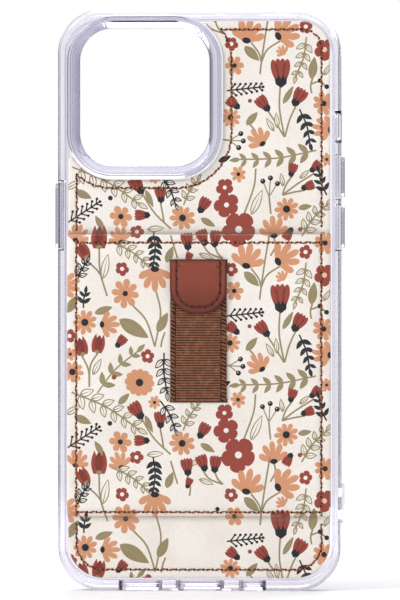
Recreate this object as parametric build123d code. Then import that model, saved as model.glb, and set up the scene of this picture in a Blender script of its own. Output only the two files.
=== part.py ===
"""Wallet case for a 6.7-inch class phone: a clear shell with a printed leather panel, a card
pocket sewn on it and an elastic finger strap with a leather tab.

Frame: the origin is the centre of the phone seat, the inner face of the back plate. +X is right
as seen from behind the case, +Z is up towards the camera end and +Y points out of the seat
towards the phone. Heights "h" below are measured from the seat away from the phone, along -Y.
All sizes are in millimetres.
"""

from build123d import *
import os

os.makedirs("parts", exist_ok=True)

# ---------------------------------------------------------------- driving dimensions
PHONE_WIDTH = 77.6
PHONE_HEIGHT = 160.7
PHONE_THICKNESS = 7.9
PHONE_CORNER_RADIUS = 10.7
PHONE_FIT = 0.1  # clearance on every side of the phone

SIDE_WALL = 1.75
END_WALL = 2.9
FRAME_CORNER_RADIUS = 12.6
LIP_HEIGHT = 1.2
LIP_OVERHANG = 1.1
FRAME_BACK_EDGE_RADIUS = 2.0
FRAME_FRONT_EDGE_RADIUS = 1.3
LEDGE_SIDE = 0.6  # how far the frame's back reaches in over the cavity, at the long sides
LEDGE_END = 0.25
RIM_PROUD = 0.5  # the frame's back rim over the back plate
RIM_STEP_WIDTH = 0.9
RIM_STEP_DEPTH = 0.25

PLATE_THICKNESS = 1.2

HOLE_WIDTH = 37.1
HOLE_HEIGHT = 39.4
HOLE_RADIUS = 9.4
HOLE_CENTRE_X = -15.6
HOLE_TO_TOP = 25.35  # from the hole's centre to the top of the frame
GUARD_WIDTH = 3.65
GUARD_HEIGHT = 3.2
GUARD_INNER_BEVEL = 1.3
GUARD_OUTER_BEVEL = 0.6

PANEL_SIDE_GAP = 0.8  # between the panel and the frame's rim
PANEL_END_GAP = 0.5
PANEL_TOP_RADIUS = 8.0
PANEL_BOTTOM_RADIUS = 10.0
PANEL_GUARD_GAP = 0.3
PANEL_TIP_RADIUS = 0.8
ADHESIVE_THICKNESS = 0.15
BOARD_THICKNESS = 0.5
BOARD_INSET = 0.4
BASE_LEATHER_THICKNESS = 0.7

POCKET_TOP = 18.7  # the pocket's mouth, from the centre of the case
POCKET_BOTTOM = -62.0
POCKET_OVERLAP = 0.25  # the pocket front past the base panel, each side
POCKET_SPACE = 0.8
POCKET_MARGIN = 3.1  # the width sewn down at the sides and the bottom
HEM_DEPTH = 3.6
LINING_THICKNESS = 0.2
STIFFENER_THICKNESS = 0.4
FRONT_LEATHER_THICKNESS = 0.7
LAYER_GAP = 0.1  # round the lining and the stiffener

STRAP_WIDTH = 16.3
STRAP_TOP = 11.4
STRAP_LENGTH = 40.7
STRAP_THICKNESS = 0.9
STRAP_CLEARANCE = 0.1
CROWN_LENGTH = 9.0
CROWN_GAP = 0.1
SLOT_PLAY = 0.15  # round the webbing in its slots
TURN_THICKNESS = 0.9  # the webbing where it turns into a slot
TAIL_LENGTH = 9.0

TAB_LENGTH = 15.4
TAB_THICKNESS = 0.8
TAB_END_RADIUS = 7.2
TAB_STITCH_INSET = 1.9

STITCH_PITCH = 2.65
STITCH_LENGTH = 2.1
STITCH_WIDTH = 0.5
STITCH_HEIGHT = 0.15
STITCH_INSET = 2.4
TAB_STITCH_PITCH = 1.9
TAB_STITCH_LENGTH = 1.5
TAB_STITCH_WIDTH = 0.4

BUTTON_DEPTH = 3.4  # across the side wall
BUTTON_PROUD = 0.9
BUTTON_TRAVEL = 0.35
BUTTON_PLAY = 0.12
FLANGE_MARGIN = 0.8
FLANGE_THICKNESS = 0.6
FLANGE_REST_GAP = 0.05
BUTTON_EDGE_RADIUS = 0.35
POWER_LENGTH = 18.5
POWER_CENTRE = 24.2
VOLUME_UP_LENGTH = 11.6
VOLUME_UP_CENTRE = 35.2
VOLUME_DOWN_LENGTH = 11.8
VOLUME_DOWN_CENTRE = 20.7

SWITCH_OPENING_LENGTH = 9.7
SWITCH_OPENING_DEPTH = 5.2
SWITCH_CENTRE = 49.5
PORT_WIDTH = 14.0
PORT_DEPTH = 6.0
PORT_RECESS_WIDTH = 21.6
PORT_RECESS_DEPTH = 1.0
SPEAKER_WIDTH = 12.6
MICROPHONE_WIDTH = 8.0
GRILLE_DEPTH = 5.2
GRILLE_TO_PORT = 17.1  # from the middle of the port to the speaker opening's centre
MICROPHONE_TO_PORT = 15.1

LOOP_CENTRE = -58.4
LOOP_LENGTH = 11.2
LOOP_DEPTH = 4.2
LOOP_PROUD = 0.9
LOOP_BAR = 0.7
LOOP_HOLE = 2.7
LOOP_HOLE_SPACING = 6.4
LOOP_GAP = 1.1

# ---------------------------------------------------------------- sizes worked out from those
CAVITY_WIDTH = PHONE_WIDTH + 2 * PHONE_FIT
CAVITY_HEIGHT = PHONE_HEIGHT + 2 * PHONE_FIT
CAVITY_DEPTH = PHONE_THICKNESS + PHONE_FIT
CAVITY_RADIUS = PHONE_CORNER_RADIUS + PHONE_FIT
FRAME_WIDTH = CAVITY_WIDTH + 2 * SIDE_WALL
FRAME_HEIGHT = CAVITY_HEIGHT + 2 * END_WALL
FRAME_FRONT = -CAVITY_DEPTH - LIP_HEIGHT
FRAME_BACK = PLATE_THICKNESS + RIM_PROUD
WALL_MIDDLE = -CAVITY_DEPTH / 2

PLATE_WIDTH = CAVITY_WIDTH - 2 * LEDGE_SIDE
PLATE_HEIGHT = CAVITY_HEIGHT - 2 * LEDGE_END
PLATE_RADIUS = CAVITY_RADIUS - LEDGE_SIDE

HOLE_CENTRE_Z = FRAME_HEIGHT / 2 - HOLE_TO_TOP
GUARD_OUTER_WIDTH = HOLE_WIDTH + 2 * GUARD_WIDTH
GUARD_OUTER_HEIGHT = HOLE_HEIGHT + 2 * GUARD_WIDTH
GUARD_OUTER_RADIUS = HOLE_RADIUS + GUARD_WIDTH

PANEL_WIDTH = PLATE_WIDTH - 2 * PANEL_SIDE_GAP
PANEL_HEIGHT = PLATE_HEIGHT - 2 * PANEL_END_GAP
BOARD_BASE = PLATE_THICKNESS + ADHESIVE_THICKNESS
LEATHER_BASE = BOARD_BASE + BOARD_THICKNESS
LEATHER_FACE = LEATHER_BASE + BASE_LEATHER_THICKNESS

LINING_BASE = LEATHER_FACE + POCKET_SPACE
STIFFENER_BASE = LINING_BASE + LINING_THICKNESS
FRONT_BASE = STIFFENER_BASE + STIFFENER_THICKNESS
FRONT_FACE = FRONT_BASE + FRONT_LEATHER_THICKNESS
POCKET_WIDTH = PANEL_WIDTH + 2 * POCKET_OVERLAP
POCKET_INNER_WIDTH = POCKET_WIDTH - 2 * POCKET_MARGIN
POCKET_INNER_BOTTOM = POCKET_BOTTOM + POCKET_MARGIN
HEM_BOTTOM = POCKET_TOP - HEM_DEPTH

STRAP_BASE = FRONT_FACE + STRAP_CLEARANCE
STRAP_FACE = STRAP_BASE + STRAP_THICKNESS
STRAP_BOTTOM = STRAP_TOP - STRAP_LENGTH
CROWN_TOP = STRAP_TOP - TAB_LENGTH
CROWN_BOTTOM = CROWN_TOP - CROWN_LENGTH
TAB_FACE = STRAP_FACE + TAB_THICKNESS


# ---------------------------------------------------------------- helpers
def level(h):
    """The plane at height h over the seat. Its x is the case's +X and its y the case's +Z."""
    return Plane.XZ.offset(h)


def slab(sketch, low, high):
    """A sketch drawn in X and Z, made solid from one height to another."""
    return extrude(level(low) * sketch, amount=high - low)


def rounded(width, height, radius, x=0.0, z=0.0):
    """A rounded rectangle centred at x, z."""
    return Pos(x, z) * RectangleRounded(width, height, radius)


def strip(x_low, x_high, z_low, z_high):
    """A plain rectangle between two values of X and two of Z."""
    middle = Pos((x_low + x_high) / 2, (z_low + z_high) / 2)
    return middle * Rectangle(x_high - x_low, z_high - z_low)


def block(x, h, z, width, depth, height):
    """A box centred at x, height h over the seat, and z; depth is along Y."""
    return Pos(x, -h, z) * Box(width, depth, height)


def edges_at(solid, h):
    """The edges of a solid that lie at height h over the seat."""
    return solid.edges().filter_by_position(Axis.Y, -h - 0.01, -h + 0.01)


def save(solid, name):
    """Writes one piece of the case to its own file."""
    solid.label = name
    export_step(solid, "parts/" + name + ".step")


def group(solids, name):
    """Writes separate, alike solids to one file."""
    save(Compound(children=list(solids)), name)


def hole_outline():
    """The camera opening."""
    return rounded(HOLE_WIDTH, HOLE_HEIGHT, HOLE_RADIUS, HOLE_CENTRE_X, HOLE_CENTRE_Z)


def guard_outline(margin=0.0):
    """The outside of the camera guard, or a line a margin outside it."""
    return rounded(
        GUARD_OUTER_WIDTH + 2 * margin,
        GUARD_OUTER_HEIGHT + 2 * margin,
        GUARD_OUTER_RADIUS + margin,
        HOLE_CENTRE_X,
        HOLE_CENTRE_Z,
    )


def panel_outline(inset=0.0):
    """The leather panel's L shape round the camera guard, or a line an inset inside it."""
    outline = Rectangle(PANEL_WIDTH - 2 * inset, PANEL_HEIGHT - 2 * inset)
    top = outline.vertices().group_by(Axis.Y)[-1]
    outline = fillet(top, PANEL_TOP_RADIUS - inset)
    bottom = outline.vertices().group_by(Axis.Y)[0]
    outline = fillet(bottom, PANEL_BOTTOM_RADIUS - inset)
    outline -= guard_outline(PANEL_GUARD_GAP + inset)
    outline -= strip(-PANEL_WIDTH, HOLE_CENTRE_X, HOLE_CENTRE_Z, PANEL_HEIGHT)
    return outline.face()


def soft_tips(face):
    """The same panel with its two sharp tips beside the camera guard rounded off."""
    arm = face.vertices().group_by(Axis.Y)[-1].sort_by(Axis.X)[0]
    left = face.vertices().filter_by_position(Axis.X, -PANEL_WIDTH, -PANEL_WIDTH / 2 + 1)
    shoulder = left.sort_by(Axis.Y)[-1]
    return fillet([arm, shoulder], PANEL_TIP_RADIUS)


# ---------------------------------------------------------------- clear frame
def bumper_frame():
    """The soft frame round the phone, with front lips, a back rim and every wall opening."""
    frame = slab(rounded(FRAME_WIDTH, FRAME_HEIGHT, FRAME_CORNER_RADIUS), FRAME_FRONT, FRAME_BACK)
    frame = fillet(edges_at(frame, FRAME_BACK), FRAME_BACK_EDGE_RADIUS)
    frame = fillet(edges_at(frame, FRAME_FRONT), FRAME_FRONT_EDGE_RADIUS)
    cavity = rounded(CAVITY_WIDTH, CAVITY_HEIGHT, CAVITY_RADIUS)
    screen = rounded(
        CAVITY_WIDTH - 2 * LIP_OVERHANG,
        CAVITY_HEIGHT - 2 * LIP_OVERHANG,
        CAVITY_RADIUS - LIP_OVERHANG,
    )
    plate = rounded(PLATE_WIDTH, PLATE_HEIGHT, PLATE_RADIUS)
    step = rounded(
        PLATE_WIDTH + 2 * RIM_STEP_WIDTH,
        PLATE_HEIGHT + 2 * RIM_STEP_WIDTH,
        PLATE_RADIUS + RIM_STEP_WIDTH,
    )
    frame -= slab(screen, FRAME_FRONT, -CAVITY_DEPTH)
    frame -= slab(cavity, -CAVITY_DEPTH, 0)
    frame -= slab(plate, 0, FRAME_BACK)
    frame -= slab(step, FRAME_BACK - RIM_STEP_DEPTH, FRAME_BACK)
    frame -= slab(guard_outline(), PLATE_THICKNESS, FRAME_BACK)
    frame -= side_openings()
    frame -= end_openings()
    frame -= loop_gaps()
    return frame + lanyard_loop()


def slot_bar(length, depth, radius, thickness, x, z):
    """A rounded bar through a side wall: its length along Z, its depth along Y."""
    plane = Plane(origin=(x, -WALL_MIDDLE, z), x_dir=(0, 0, 1), z_dir=(1, 0, 0))
    outline = plane * RectangleRounded(length, depth, radius)
    return extrude(outline, amount=thickness / 2, both=True)


def side_openings():
    """The button windows with the recesses behind them, the switch opening and the loop's gaps."""
    inside = CAVITY_WIDTH / 2
    recess_depth = BUTTON_TRAVEL + FLANGE_THICKNESS + FLANGE_REST_GAP
    cuts = []
    for side, length, centre in buttons():
        window = length + 2 * BUTTON_PLAY
        across = BUTTON_DEPTH + 2 * BUTTON_PLAY
        wall = side * (inside + SIDE_WALL / 2)
        cuts.append(slot_bar(window, across, across / 2 - 0.05, 2 * SIDE_WALL, wall, centre))
        recess = window + 2 * FLANGE_MARGIN
        recess_across = across + 2 * FLANGE_MARGIN
        middle = side * (inside + recess_depth / 2 - 0.5)
        cuts.append(slot_bar(recess, recess_across, 1.0, recess_depth + 1.0, middle, centre))
    switch_radius = SWITCH_OPENING_DEPTH / 2 - 0.05
    wall = inside + SIDE_WALL / 2
    cuts.append(
        slot_bar(
            SWITCH_OPENING_LENGTH,
            SWITCH_OPENING_DEPTH,
            switch_radius,
            2 * SIDE_WALL,
            wall,
            SWITCH_CENTRE,
        )
    )
    return cuts


def end_openings():
    """The charging port opening in its recess, with the speaker and microphone openings."""
    foot = -FRAME_HEIGHT / 2
    wall = foot + END_WALL / 2
    tall = 3 * END_WALL
    cuts = [
        end_slot(PORT_WIDTH, PORT_DEPTH, tall, 0, wall),
        end_slot(PORT_RECESS_WIDTH, PORT_DEPTH + 0.8, 2 * PORT_RECESS_DEPTH, 0, foot),
        end_slot(SPEAKER_WIDTH, GRILLE_DEPTH, tall, -GRILLE_TO_PORT, wall),
        end_slot(MICROPHONE_WIDTH, GRILLE_DEPTH, tall, MICROPHONE_TO_PORT, wall),
    ]
    return cuts


def end_slot(width, depth, tall, x, z):
    """A slot with round ends through the bottom wall."""
    plane = Plane(origin=(x, -WALL_MIDDLE, z), x_dir=(1, 0, 0), z_dir=(0, 0, 1))
    outline = plane * RectangleRounded(width, depth, depth / 2 - 0.05)
    return extrude(outline, amount=tall / 2, both=True)


def lanyard_loop():
    """The bar on the frame's side that a wrist cord goes round, held by three short posts."""
    wall = FRAME_WIDTH / 2
    outer = wall + LOOP_PROUD
    post = LOOP_GAP + 0.6
    bar_x = outer - LOOP_BAR / 2
    bar = slot_bar(LOOP_LENGTH, LOOP_DEPTH, 0.6, LOOP_BAR, bar_x, LOOP_CENTRE)
    end_post = (LOOP_LENGTH - LOOP_HOLE_SPACING - LOOP_HOLE) / 2
    middle_post = LOOP_HOLE_SPACING - LOOP_HOLE
    reach = outer - LOOP_BAR - post / 2 + 0.05
    shift = (LOOP_LENGTH - end_post) / 2
    loop = bar
    for z, tall in ((shift, end_post), (0, middle_post), (-shift, end_post)):
        loop += block(reach, WALL_MIDDLE, LOOP_CENTRE + z, post + 0.1, LOOP_DEPTH, tall)
    return loop


def loop_gaps():
    """The two gaps behind the lanyard bar, cut into the frame's wall from back to front."""
    outer = FRAME_WIDTH / 2 + LOOP_PROUD - LOOP_BAR
    depth = FRAME_BACK - FRAME_FRONT
    middle = (FRAME_BACK + FRAME_FRONT) / 2
    cuts = []
    for z in (LOOP_HOLE_SPACING / 2, -LOOP_HOLE_SPACING / 2):
        x = outer - LOOP_GAP / 2
        cuts.append(block(x, middle, LOOP_CENTRE + z, LOOP_GAP, depth + 1, LOOP_HOLE))
    return cuts


# ---------------------------------------------------------------- back plate and camera guard
def back_plate():
    """The hard clear plate behind the phone, open at the camera."""
    outline = rounded(PLATE_WIDTH, PLATE_HEIGHT, PLATE_RADIUS) - hole_outline()
    return slab(outline, 0, PLATE_THICKNESS)


def back_face(solid):
    """The face of a solid that is furthest from the phone."""
    return solid.faces().sort_by(Axis.Y)[0]


def camera_guard():
    """The raised clear ring that stands round the camera, sloped towards the opening."""
    outline = guard_outline() - hole_outline()
    guard = slab(outline, PLATE_THICKNESS, PLATE_THICKNESS + GUARD_HEIGHT)
    guard = fillet(back_face(guard).outer_wire().edges(), GUARD_OUTER_BEVEL)
    return chamfer(back_face(guard).inner_wires()[0].edges(), GUARD_INNER_BEVEL)


# ---------------------------------------------------------------- buttons
def buttons():
    """The side, length and centre of each button: power, volume up and volume down."""
    return (
        (-1, POWER_LENGTH, POWER_CENTRE),
        (1, VOLUME_UP_LENGTH, VOLUME_UP_CENTRE),
        (1, VOLUME_DOWN_LENGTH, VOLUME_DOWN_CENTRE),
    )


def button(side, length, centre):
    """A key cap that stands through its window, on the flange that keeps it in the wall."""
    inside = CAVITY_WIDTH / 2
    shoulder = inside + BUTTON_TRAVEL + FLANGE_THICKNESS
    outer = FRAME_WIDTH / 2 + BUTTON_PROUD
    cap_x = side * (shoulder + outer) / 2
    cap = slot_bar(length, BUTTON_DEPTH, BUTTON_DEPTH / 2 - 0.05, outer - shoulder, cap_x, centre)
    tip = cap.faces().sort_by(Axis.X)[-1 if side > 0 else 0]
    cap = fillet(tip.edges(), BUTTON_EDGE_RADIUS)
    flange_long = length + 2 * FLANGE_MARGIN - 2 * BUTTON_PLAY
    flange_across = BUTTON_DEPTH + 2 * FLANGE_MARGIN - 2 * BUTTON_PLAY
    flange_x = side * (shoulder - FLANGE_THICKNESS / 2)
    flange = slot_bar(flange_long, flange_across, 1.0, FLANGE_THICKNESS, flange_x, centre)
    return cap + flange


# ---------------------------------------------------------------- leather panel and pocket
def band(low, high, width, inset=0.0):
    """The pocket's outline between two values of Z, kept inside the panel's round corners."""
    shape = strip(-width / 2, width / 2, low, high)
    corners = rounded(POCKET_WIDTH - 2 * inset, PANEL_HEIGHT - 2 * inset, PANEL_BOTTOM_RADIUS)
    return shape & corners


def strap_windows():
    """The places where the webbing goes through the pocket front, each just inside its end."""
    half = STRAP_WIDTH / 2 + SLOT_PLAY
    tall = TURN_THICKNESS + 2 * SLOT_PLAY
    upper = STRAP_TOP + SLOT_PLAY
    lower = STRAP_BOTTOM - SLOT_PLAY
    return (
        strip(-half, half, upper - tall, upper),
        strip(-half, half, lower, lower + tall),
    )


def tail_windows():
    """The places in the stiffener that hold the webbing's sewn-down tails."""
    half = STRAP_WIDTH / 2 + SLOT_PLAY
    top = STRAP_TOP + SLOT_PLAY
    foot = STRAP_BOTTOM - SLOT_PLAY
    tall = TAIL_LENGTH + 2 * SLOT_PLAY
    return strip(-half, half, top - tall, top), strip(-half, half, foot, foot + tall)


def pocket_front():
    """The printed leather of the card pocket, turned down to the panel at three sides."""
    front = slab(band(POCKET_BOTTOM, POCKET_TOP, POCKET_WIDTH), FRONT_BASE, FRONT_FACE)
    sides = band(POCKET_BOTTOM, POCKET_TOP, POCKET_WIDTH)
    sides -= strip(
        -POCKET_INNER_WIDTH / 2, POCKET_INNER_WIDTH / 2, POCKET_INNER_BOTTOM, POCKET_TOP + 1
    )
    front += slab(sides, LEATHER_FACE, FRONT_BASE)
    half = POCKET_INNER_WIDTH / 2
    front += slab(strip(-half, half, HEM_BOTTOM, POCKET_TOP), LINING_BASE, FRONT_BASE)
    for window in strap_windows():
        front -= slab(window, FRONT_BASE, FRONT_FACE)
    return front


def pocket_layer(low, high, windows=()):
    """A thin sheet inside the pocket front, between its sewn margins and below its hem."""
    half = POCKET_INNER_WIDTH / 2 - LAYER_GAP
    outline = strip(-half, half, POCKET_INNER_BOTTOM + LAYER_GAP, HEM_BOTTOM - LAYER_GAP)
    for window in windows:
        outline -= window
    return slab(outline, low, high)


# ---------------------------------------------------------------- strap
def webbing(z_low, z_high):
    """A flat run of the elastic webbing over the pocket front."""
    half = STRAP_WIDTH / 2
    return slab(strip(-half, half, z_low, z_high), STRAP_BASE, STRAP_FACE)


def webbing_end(z_low, z_high, turn_low):
    """A run of webbing with the turn that goes down through its slot."""
    half = STRAP_WIDTH / 2
    turn = strip(-half, half, turn_low, turn_low + TURN_THICKNESS)
    return webbing(z_low, z_high) + slab(turn, FRONT_BASE, STRAP_BASE)


def tail(z_low):
    """A flattened end of the webbing, sewn down inside the pocket front."""
    half = STRAP_WIDTH / 2
    return slab(strip(-half, half, z_low, z_low + TAIL_LENGTH), STIFFENER_BASE, FRONT_BASE)


def tab_outline(inset=0.0):
    """The leather tab: square at the strap's top end and round at its lower end."""
    half = STRAP_WIDTH / 2 - inset
    outline = strip(-half, half, STRAP_TOP - TAB_LENGTH + inset, STRAP_TOP)
    corners = outline.vertices().group_by(Axis.Y)[0]
    return fillet(corners, TAB_END_RADIUS - inset)


# ---------------------------------------------------------------- stitching
def stitch(spot, heading, length, width, face):
    """One flat bar of thread on a leather face, centred at a spot and laid along a heading."""
    angle = Vector(1, 0, 0).get_signed_angle(heading, Vector(0, 0, 1))
    outline = Pos(spot.X, spot.Y) * Rot(0, 0, angle) * SlotOverall(length, width)
    return slab(outline, face, face + STITCH_HEIGHT)


def spots_on(edge, pitch):
    """Evenly spaced places on an edge, each with the edge's heading there."""
    count = max(1, round(edge.length / pitch))
    shares = [(index + 0.5) / count for index in range(count)]
    return [(edge @ share, edge % share) for share in shares]


def edge_stitches():
    """The line of stitches inside the panel's edge, sorted by the part of the panel it holds."""
    groups = {"upper": [], "camera": [], "pocket": [], "lower": []}
    for edge in panel_outline(STITCH_INSET).outer_wire().edges():
        for spot, heading in spots_on(edge, STITCH_PITCH):
            name = stitch_group(spot)
            if name is None:
                continue
            face = FRONT_FACE if name == "pocket" else LEATHER_FACE
            groups[name].append(stitch(spot, heading, STITCH_LENGTH, STITCH_WIDTH, face))
    return groups


def stitch_group(spot):
    """Which line a stitch belongs to, or None where the pocket's own edge would cut it."""
    reach = STITCH_LENGTH / 2 + 0.1
    if min(abs(spot.Y - POCKET_TOP), abs(spot.Y - POCKET_BOTTOM)) < reach:
        return None
    if spot.Y < POCKET_BOTTOM:
        return "lower"
    if spot.Y < POCKET_TOP:
        return "pocket"
    across = abs(spot.X - HOLE_CENTRE_X) - GUARD_OUTER_WIDTH / 2
    along = abs(spot.Y - HOLE_CENTRE_Z) - GUARD_OUTER_HEIGHT / 2
    beside = STITCH_INSET + PANEL_GUARD_GAP + 0.1
    return "camera" if max(across, along) < beside else "upper"


def seam(z):
    """A straight line of stitches across the pocket front, between its two edge lines."""
    half = PANEL_WIDTH / 2 - STITCH_INSET - STITCH_WIDTH
    line = Edge.make_line((-half, z), (half, z))
    spots = spots_on(line, STITCH_PITCH)
    return [stitch(spot, way, STITCH_LENGTH, STITCH_WIDTH, FRONT_FACE) for spot, way in spots]


def tab_stitches():
    """The U of fine stitches that sews the tab to the webbing, open at the tab's top end."""
    bars = []
    for edge in tab_outline(TAB_STITCH_INSET).edges():
        if (edge @ 0.5).Y > STRAP_TOP - TAB_STITCH_INSET / 2:
            continue
        for spot, heading in spots_on(edge, TAB_STITCH_PITCH):
            bars.append(stitch(spot, heading, TAB_STITCH_LENGTH, TAB_STITCH_WIDTH, TAB_FACE))
    return bars


# ---------------------------------------------------------------- assembly
save(bumper_frame(), "bumper_frame")
save(back_plate(), "back_plate")
save(camera_guard(), "camera_guard_ring")

button_names = ("power_button", "volume_up_button", "volume_down_button")
for button_name, place in zip(button_names, buttons()):
    save(button(*place), button_name)

save(slab(panel_outline(BOARD_INSET), PLATE_THICKNESS, BOARD_BASE), "panel_adhesive")
save(slab(panel_outline(BOARD_INSET), BOARD_BASE, LEATHER_BASE), "panel_backing_board")
save(slab(soft_tips(panel_outline()), LEATHER_BASE, LEATHER_FACE), "base_leather")

save(pocket_front(), "pocket_front_leather")
save(pocket_layer(STIFFENER_BASE, FRONT_BASE, tail_windows()), "pocket_stiffener")
save(pocket_layer(LINING_BASE, STIFFENER_BASE), "pocket_lining")

lower_turn = STRAP_BOTTOM
upper_turn = STRAP_TOP - TURN_THICKNESS
save(webbing_end(CROWN_TOP + CROWN_GAP, STRAP_TOP, upper_turn), "strap_webbing_upper")
save(webbing(CROWN_BOTTOM, CROWN_TOP), "strap_webbing_crown")
save(webbing_end(STRAP_BOTTOM, CROWN_BOTTOM - CROWN_GAP, lower_turn), "strap_webbing_lower")
save(tail(STRAP_TOP - TAIL_LENGTH), "strap_upper_anchor")
save(tail(STRAP_BOTTOM), "strap_lower_anchor")
save(slab(tab_outline(), STRAP_FACE, TAB_FACE), "strap_tab_leather")

for line_name, bars in edge_stitches().items():
    group(bars, line_name + "_edge_stitching")
group(seam(POCKET_TOP - STITCH_INSET), "pocket_mouth_stitching")
group(seam(POCKET_BOTTOM + STITCH_INSET / 2), "pocket_bottom_stitching")
group(tab_stitches(), "strap_tab_stitching")
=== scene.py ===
import bpy
import numpy as np
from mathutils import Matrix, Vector
from mathutils.geometry import delaunay_2d_cdt


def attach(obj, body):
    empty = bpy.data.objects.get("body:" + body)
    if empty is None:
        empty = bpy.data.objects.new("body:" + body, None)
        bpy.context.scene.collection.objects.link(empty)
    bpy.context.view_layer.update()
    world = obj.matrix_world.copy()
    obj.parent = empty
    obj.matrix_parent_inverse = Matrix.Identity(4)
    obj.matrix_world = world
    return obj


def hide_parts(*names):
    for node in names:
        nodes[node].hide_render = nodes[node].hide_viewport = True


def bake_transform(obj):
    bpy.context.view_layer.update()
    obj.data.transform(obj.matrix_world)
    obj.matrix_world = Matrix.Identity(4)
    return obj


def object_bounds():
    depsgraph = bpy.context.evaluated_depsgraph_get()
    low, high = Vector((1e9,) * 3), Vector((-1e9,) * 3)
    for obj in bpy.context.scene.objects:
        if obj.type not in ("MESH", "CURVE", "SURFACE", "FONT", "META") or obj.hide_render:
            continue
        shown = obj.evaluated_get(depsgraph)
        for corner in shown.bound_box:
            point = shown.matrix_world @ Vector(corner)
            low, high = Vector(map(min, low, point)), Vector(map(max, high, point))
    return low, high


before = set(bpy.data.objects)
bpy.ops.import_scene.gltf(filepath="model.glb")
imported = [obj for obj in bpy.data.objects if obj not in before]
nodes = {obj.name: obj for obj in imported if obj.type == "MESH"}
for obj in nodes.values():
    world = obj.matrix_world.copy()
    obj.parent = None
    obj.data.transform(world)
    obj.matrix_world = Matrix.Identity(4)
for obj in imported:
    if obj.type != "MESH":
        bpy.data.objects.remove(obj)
cad_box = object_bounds()


# ------------------------------------------------------------------ clear soft frame
# The frame round the phone is moulded in one shot from clear soft plastic, with the lips, the
# back rim and the bar for a wrist cord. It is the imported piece, so it only needs its plastic:
# glossy, with a cool lavender cast where it is thick, and faint scuffs from a pocket.
SHELL_TINT = (234, 231, 240)


def tone(red, green, blue):
    """A colour from 0 to 255 a channel, as linear light: ((c + 0.055) / 1.055) to the 2.4."""
    share = np.array([red, green, blue]) / 255
    linear = np.where(share > 0.04045, ((share + 0.055) / 1.055) ** 2.4, share / 12.92)
    return (*linear.tolist(), 1.0)


def feed(tree, node, inputs):
    """Sets a node's sockets: each takes a plain value, or a link where it is given a socket."""
    for name, value in inputs.items():
        if isinstance(value, bpy.types.NodeSocket):
            tree.links.new(value, node.inputs[name])
        else:
            node.inputs[name].default_value = value


def add(tree, kind, inputs, **settings):
    """One shader node of a kind, with its settings and what its sockets take."""
    node = tree.nodes.new("ShaderNode" + kind)
    for name, value in settings.items():
        setattr(node, name, value)
    feed(tree, node, inputs)
    return node


def noise(tree, where, scale, detail=3.0, rough=0.5):
    """Cloudy noise from 0 to 1, with this many lumps in a metre."""
    inputs = {"Vector": where, "Scale": scale, "Detail": detail, "Roughness": rough}
    return add(tree, "TexNoise", inputs).outputs["Fac"]


def ramp(tree, value, low, high, to_low=0.0, to_high=1.0):
    """A value carried from one range to another, smooth at both ends and held there."""
    inputs = {"Value": value, "From Min": low, "From Max": high}
    inputs.update({"To Min": to_low, "To Max": to_high})
    return add(tree, "MapRange", inputs, interpolation_type="SMOOTHSTEP").outputs["Result"]


def sums(tree, operation, first, second=0.0):
    """One sum of two values, each a number or a socket."""
    return add(tree, "Math", {0: first, 1: second}, operation=operation).outputs["Value"]


def times(tree, first, second):
    """The product of two values."""
    return sums(tree, "MULTIPLY", first, second)


def mix(tree, factor, first, second, how="MIX"):
    """A colour between two: the first where the factor is 0, the second where it is 1, or the
    first times the second."""
    node = add(tree, "Mix", {}, data_type="RGBA", blend_type=how)
    feed(tree, node, {0: factor, 6: first, 7: second})
    return node.outputs[2]


def axes(tree, where):
    """The X, Y and Z of a vector."""
    return add(tree, "SeparateXYZ", {"Vector": where}).outputs


def object_place(tree):
    """Where a point is on the piece, in metres."""
    return add(tree, "TexCoord", {}).outputs["Object"]


def stretched(tree, where, scale, turn=(0.0, 0.0, 0.0)):
    """The same place with each axis scaled, then turned."""
    inputs = {"Vector": where, "Scale": scale, "Rotation": turn}
    return add(tree, "Mapping", inputs).outputs["Vector"]


def bump(tree, height, strength, distance):
    """The normal of a surface raised by a height, this many metres where the height is 1."""
    inputs = {"Height": height, "Strength": strength, "Distance": distance}
    return add(tree, "Bump", inputs).outputs["Normal"]


def finish(name, **values):
    """A new material with one Principled shader that holds these plain values."""
    material = bpy.data.materials.new(name)
    material.use_nodes = True
    shader = material.node_tree.nodes["Principled BSDF"]
    for socket, value in values.items():
        shader.inputs[socket.replace("_", " ")].default_value = value
    return material, material.node_tree, shader


def effect(name, inputs, outputs):
    """An empty shader group: inputs are name to plain number, outputs name to kind of socket."""
    tree = bpy.data.node_groups.new(name, "ShaderNodeTree")
    for socket, value in inputs.items():
        made = tree.interface.new_socket(name=socket, in_out="INPUT", socket_type="NodeSocketFloat")
        made.default_value = value
    for socket, kind in outputs.items():
        tree.interface.new_socket(name=socket, in_out="OUTPUT", socket_type="NodeSocket" + kind)
    return tree, tree.nodes.new("NodeGroupInput").outputs, tree.nodes.new("NodeGroupOutput")


def placed(tree, made, **values):
    """A shader group placed in a material with its own plain values; returns its outputs."""
    node = add(tree, "Group", {}, node_tree=made)
    for socket, value in values.items():
        node.inputs[socket.replace("_", " ")].default_value = value
    return node.outputs


def wear(names, material):
    """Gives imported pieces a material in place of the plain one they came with."""
    for name in names:
        nodes[name].data.materials.clear()
        nodes[name].data.materials.append(material)


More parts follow.
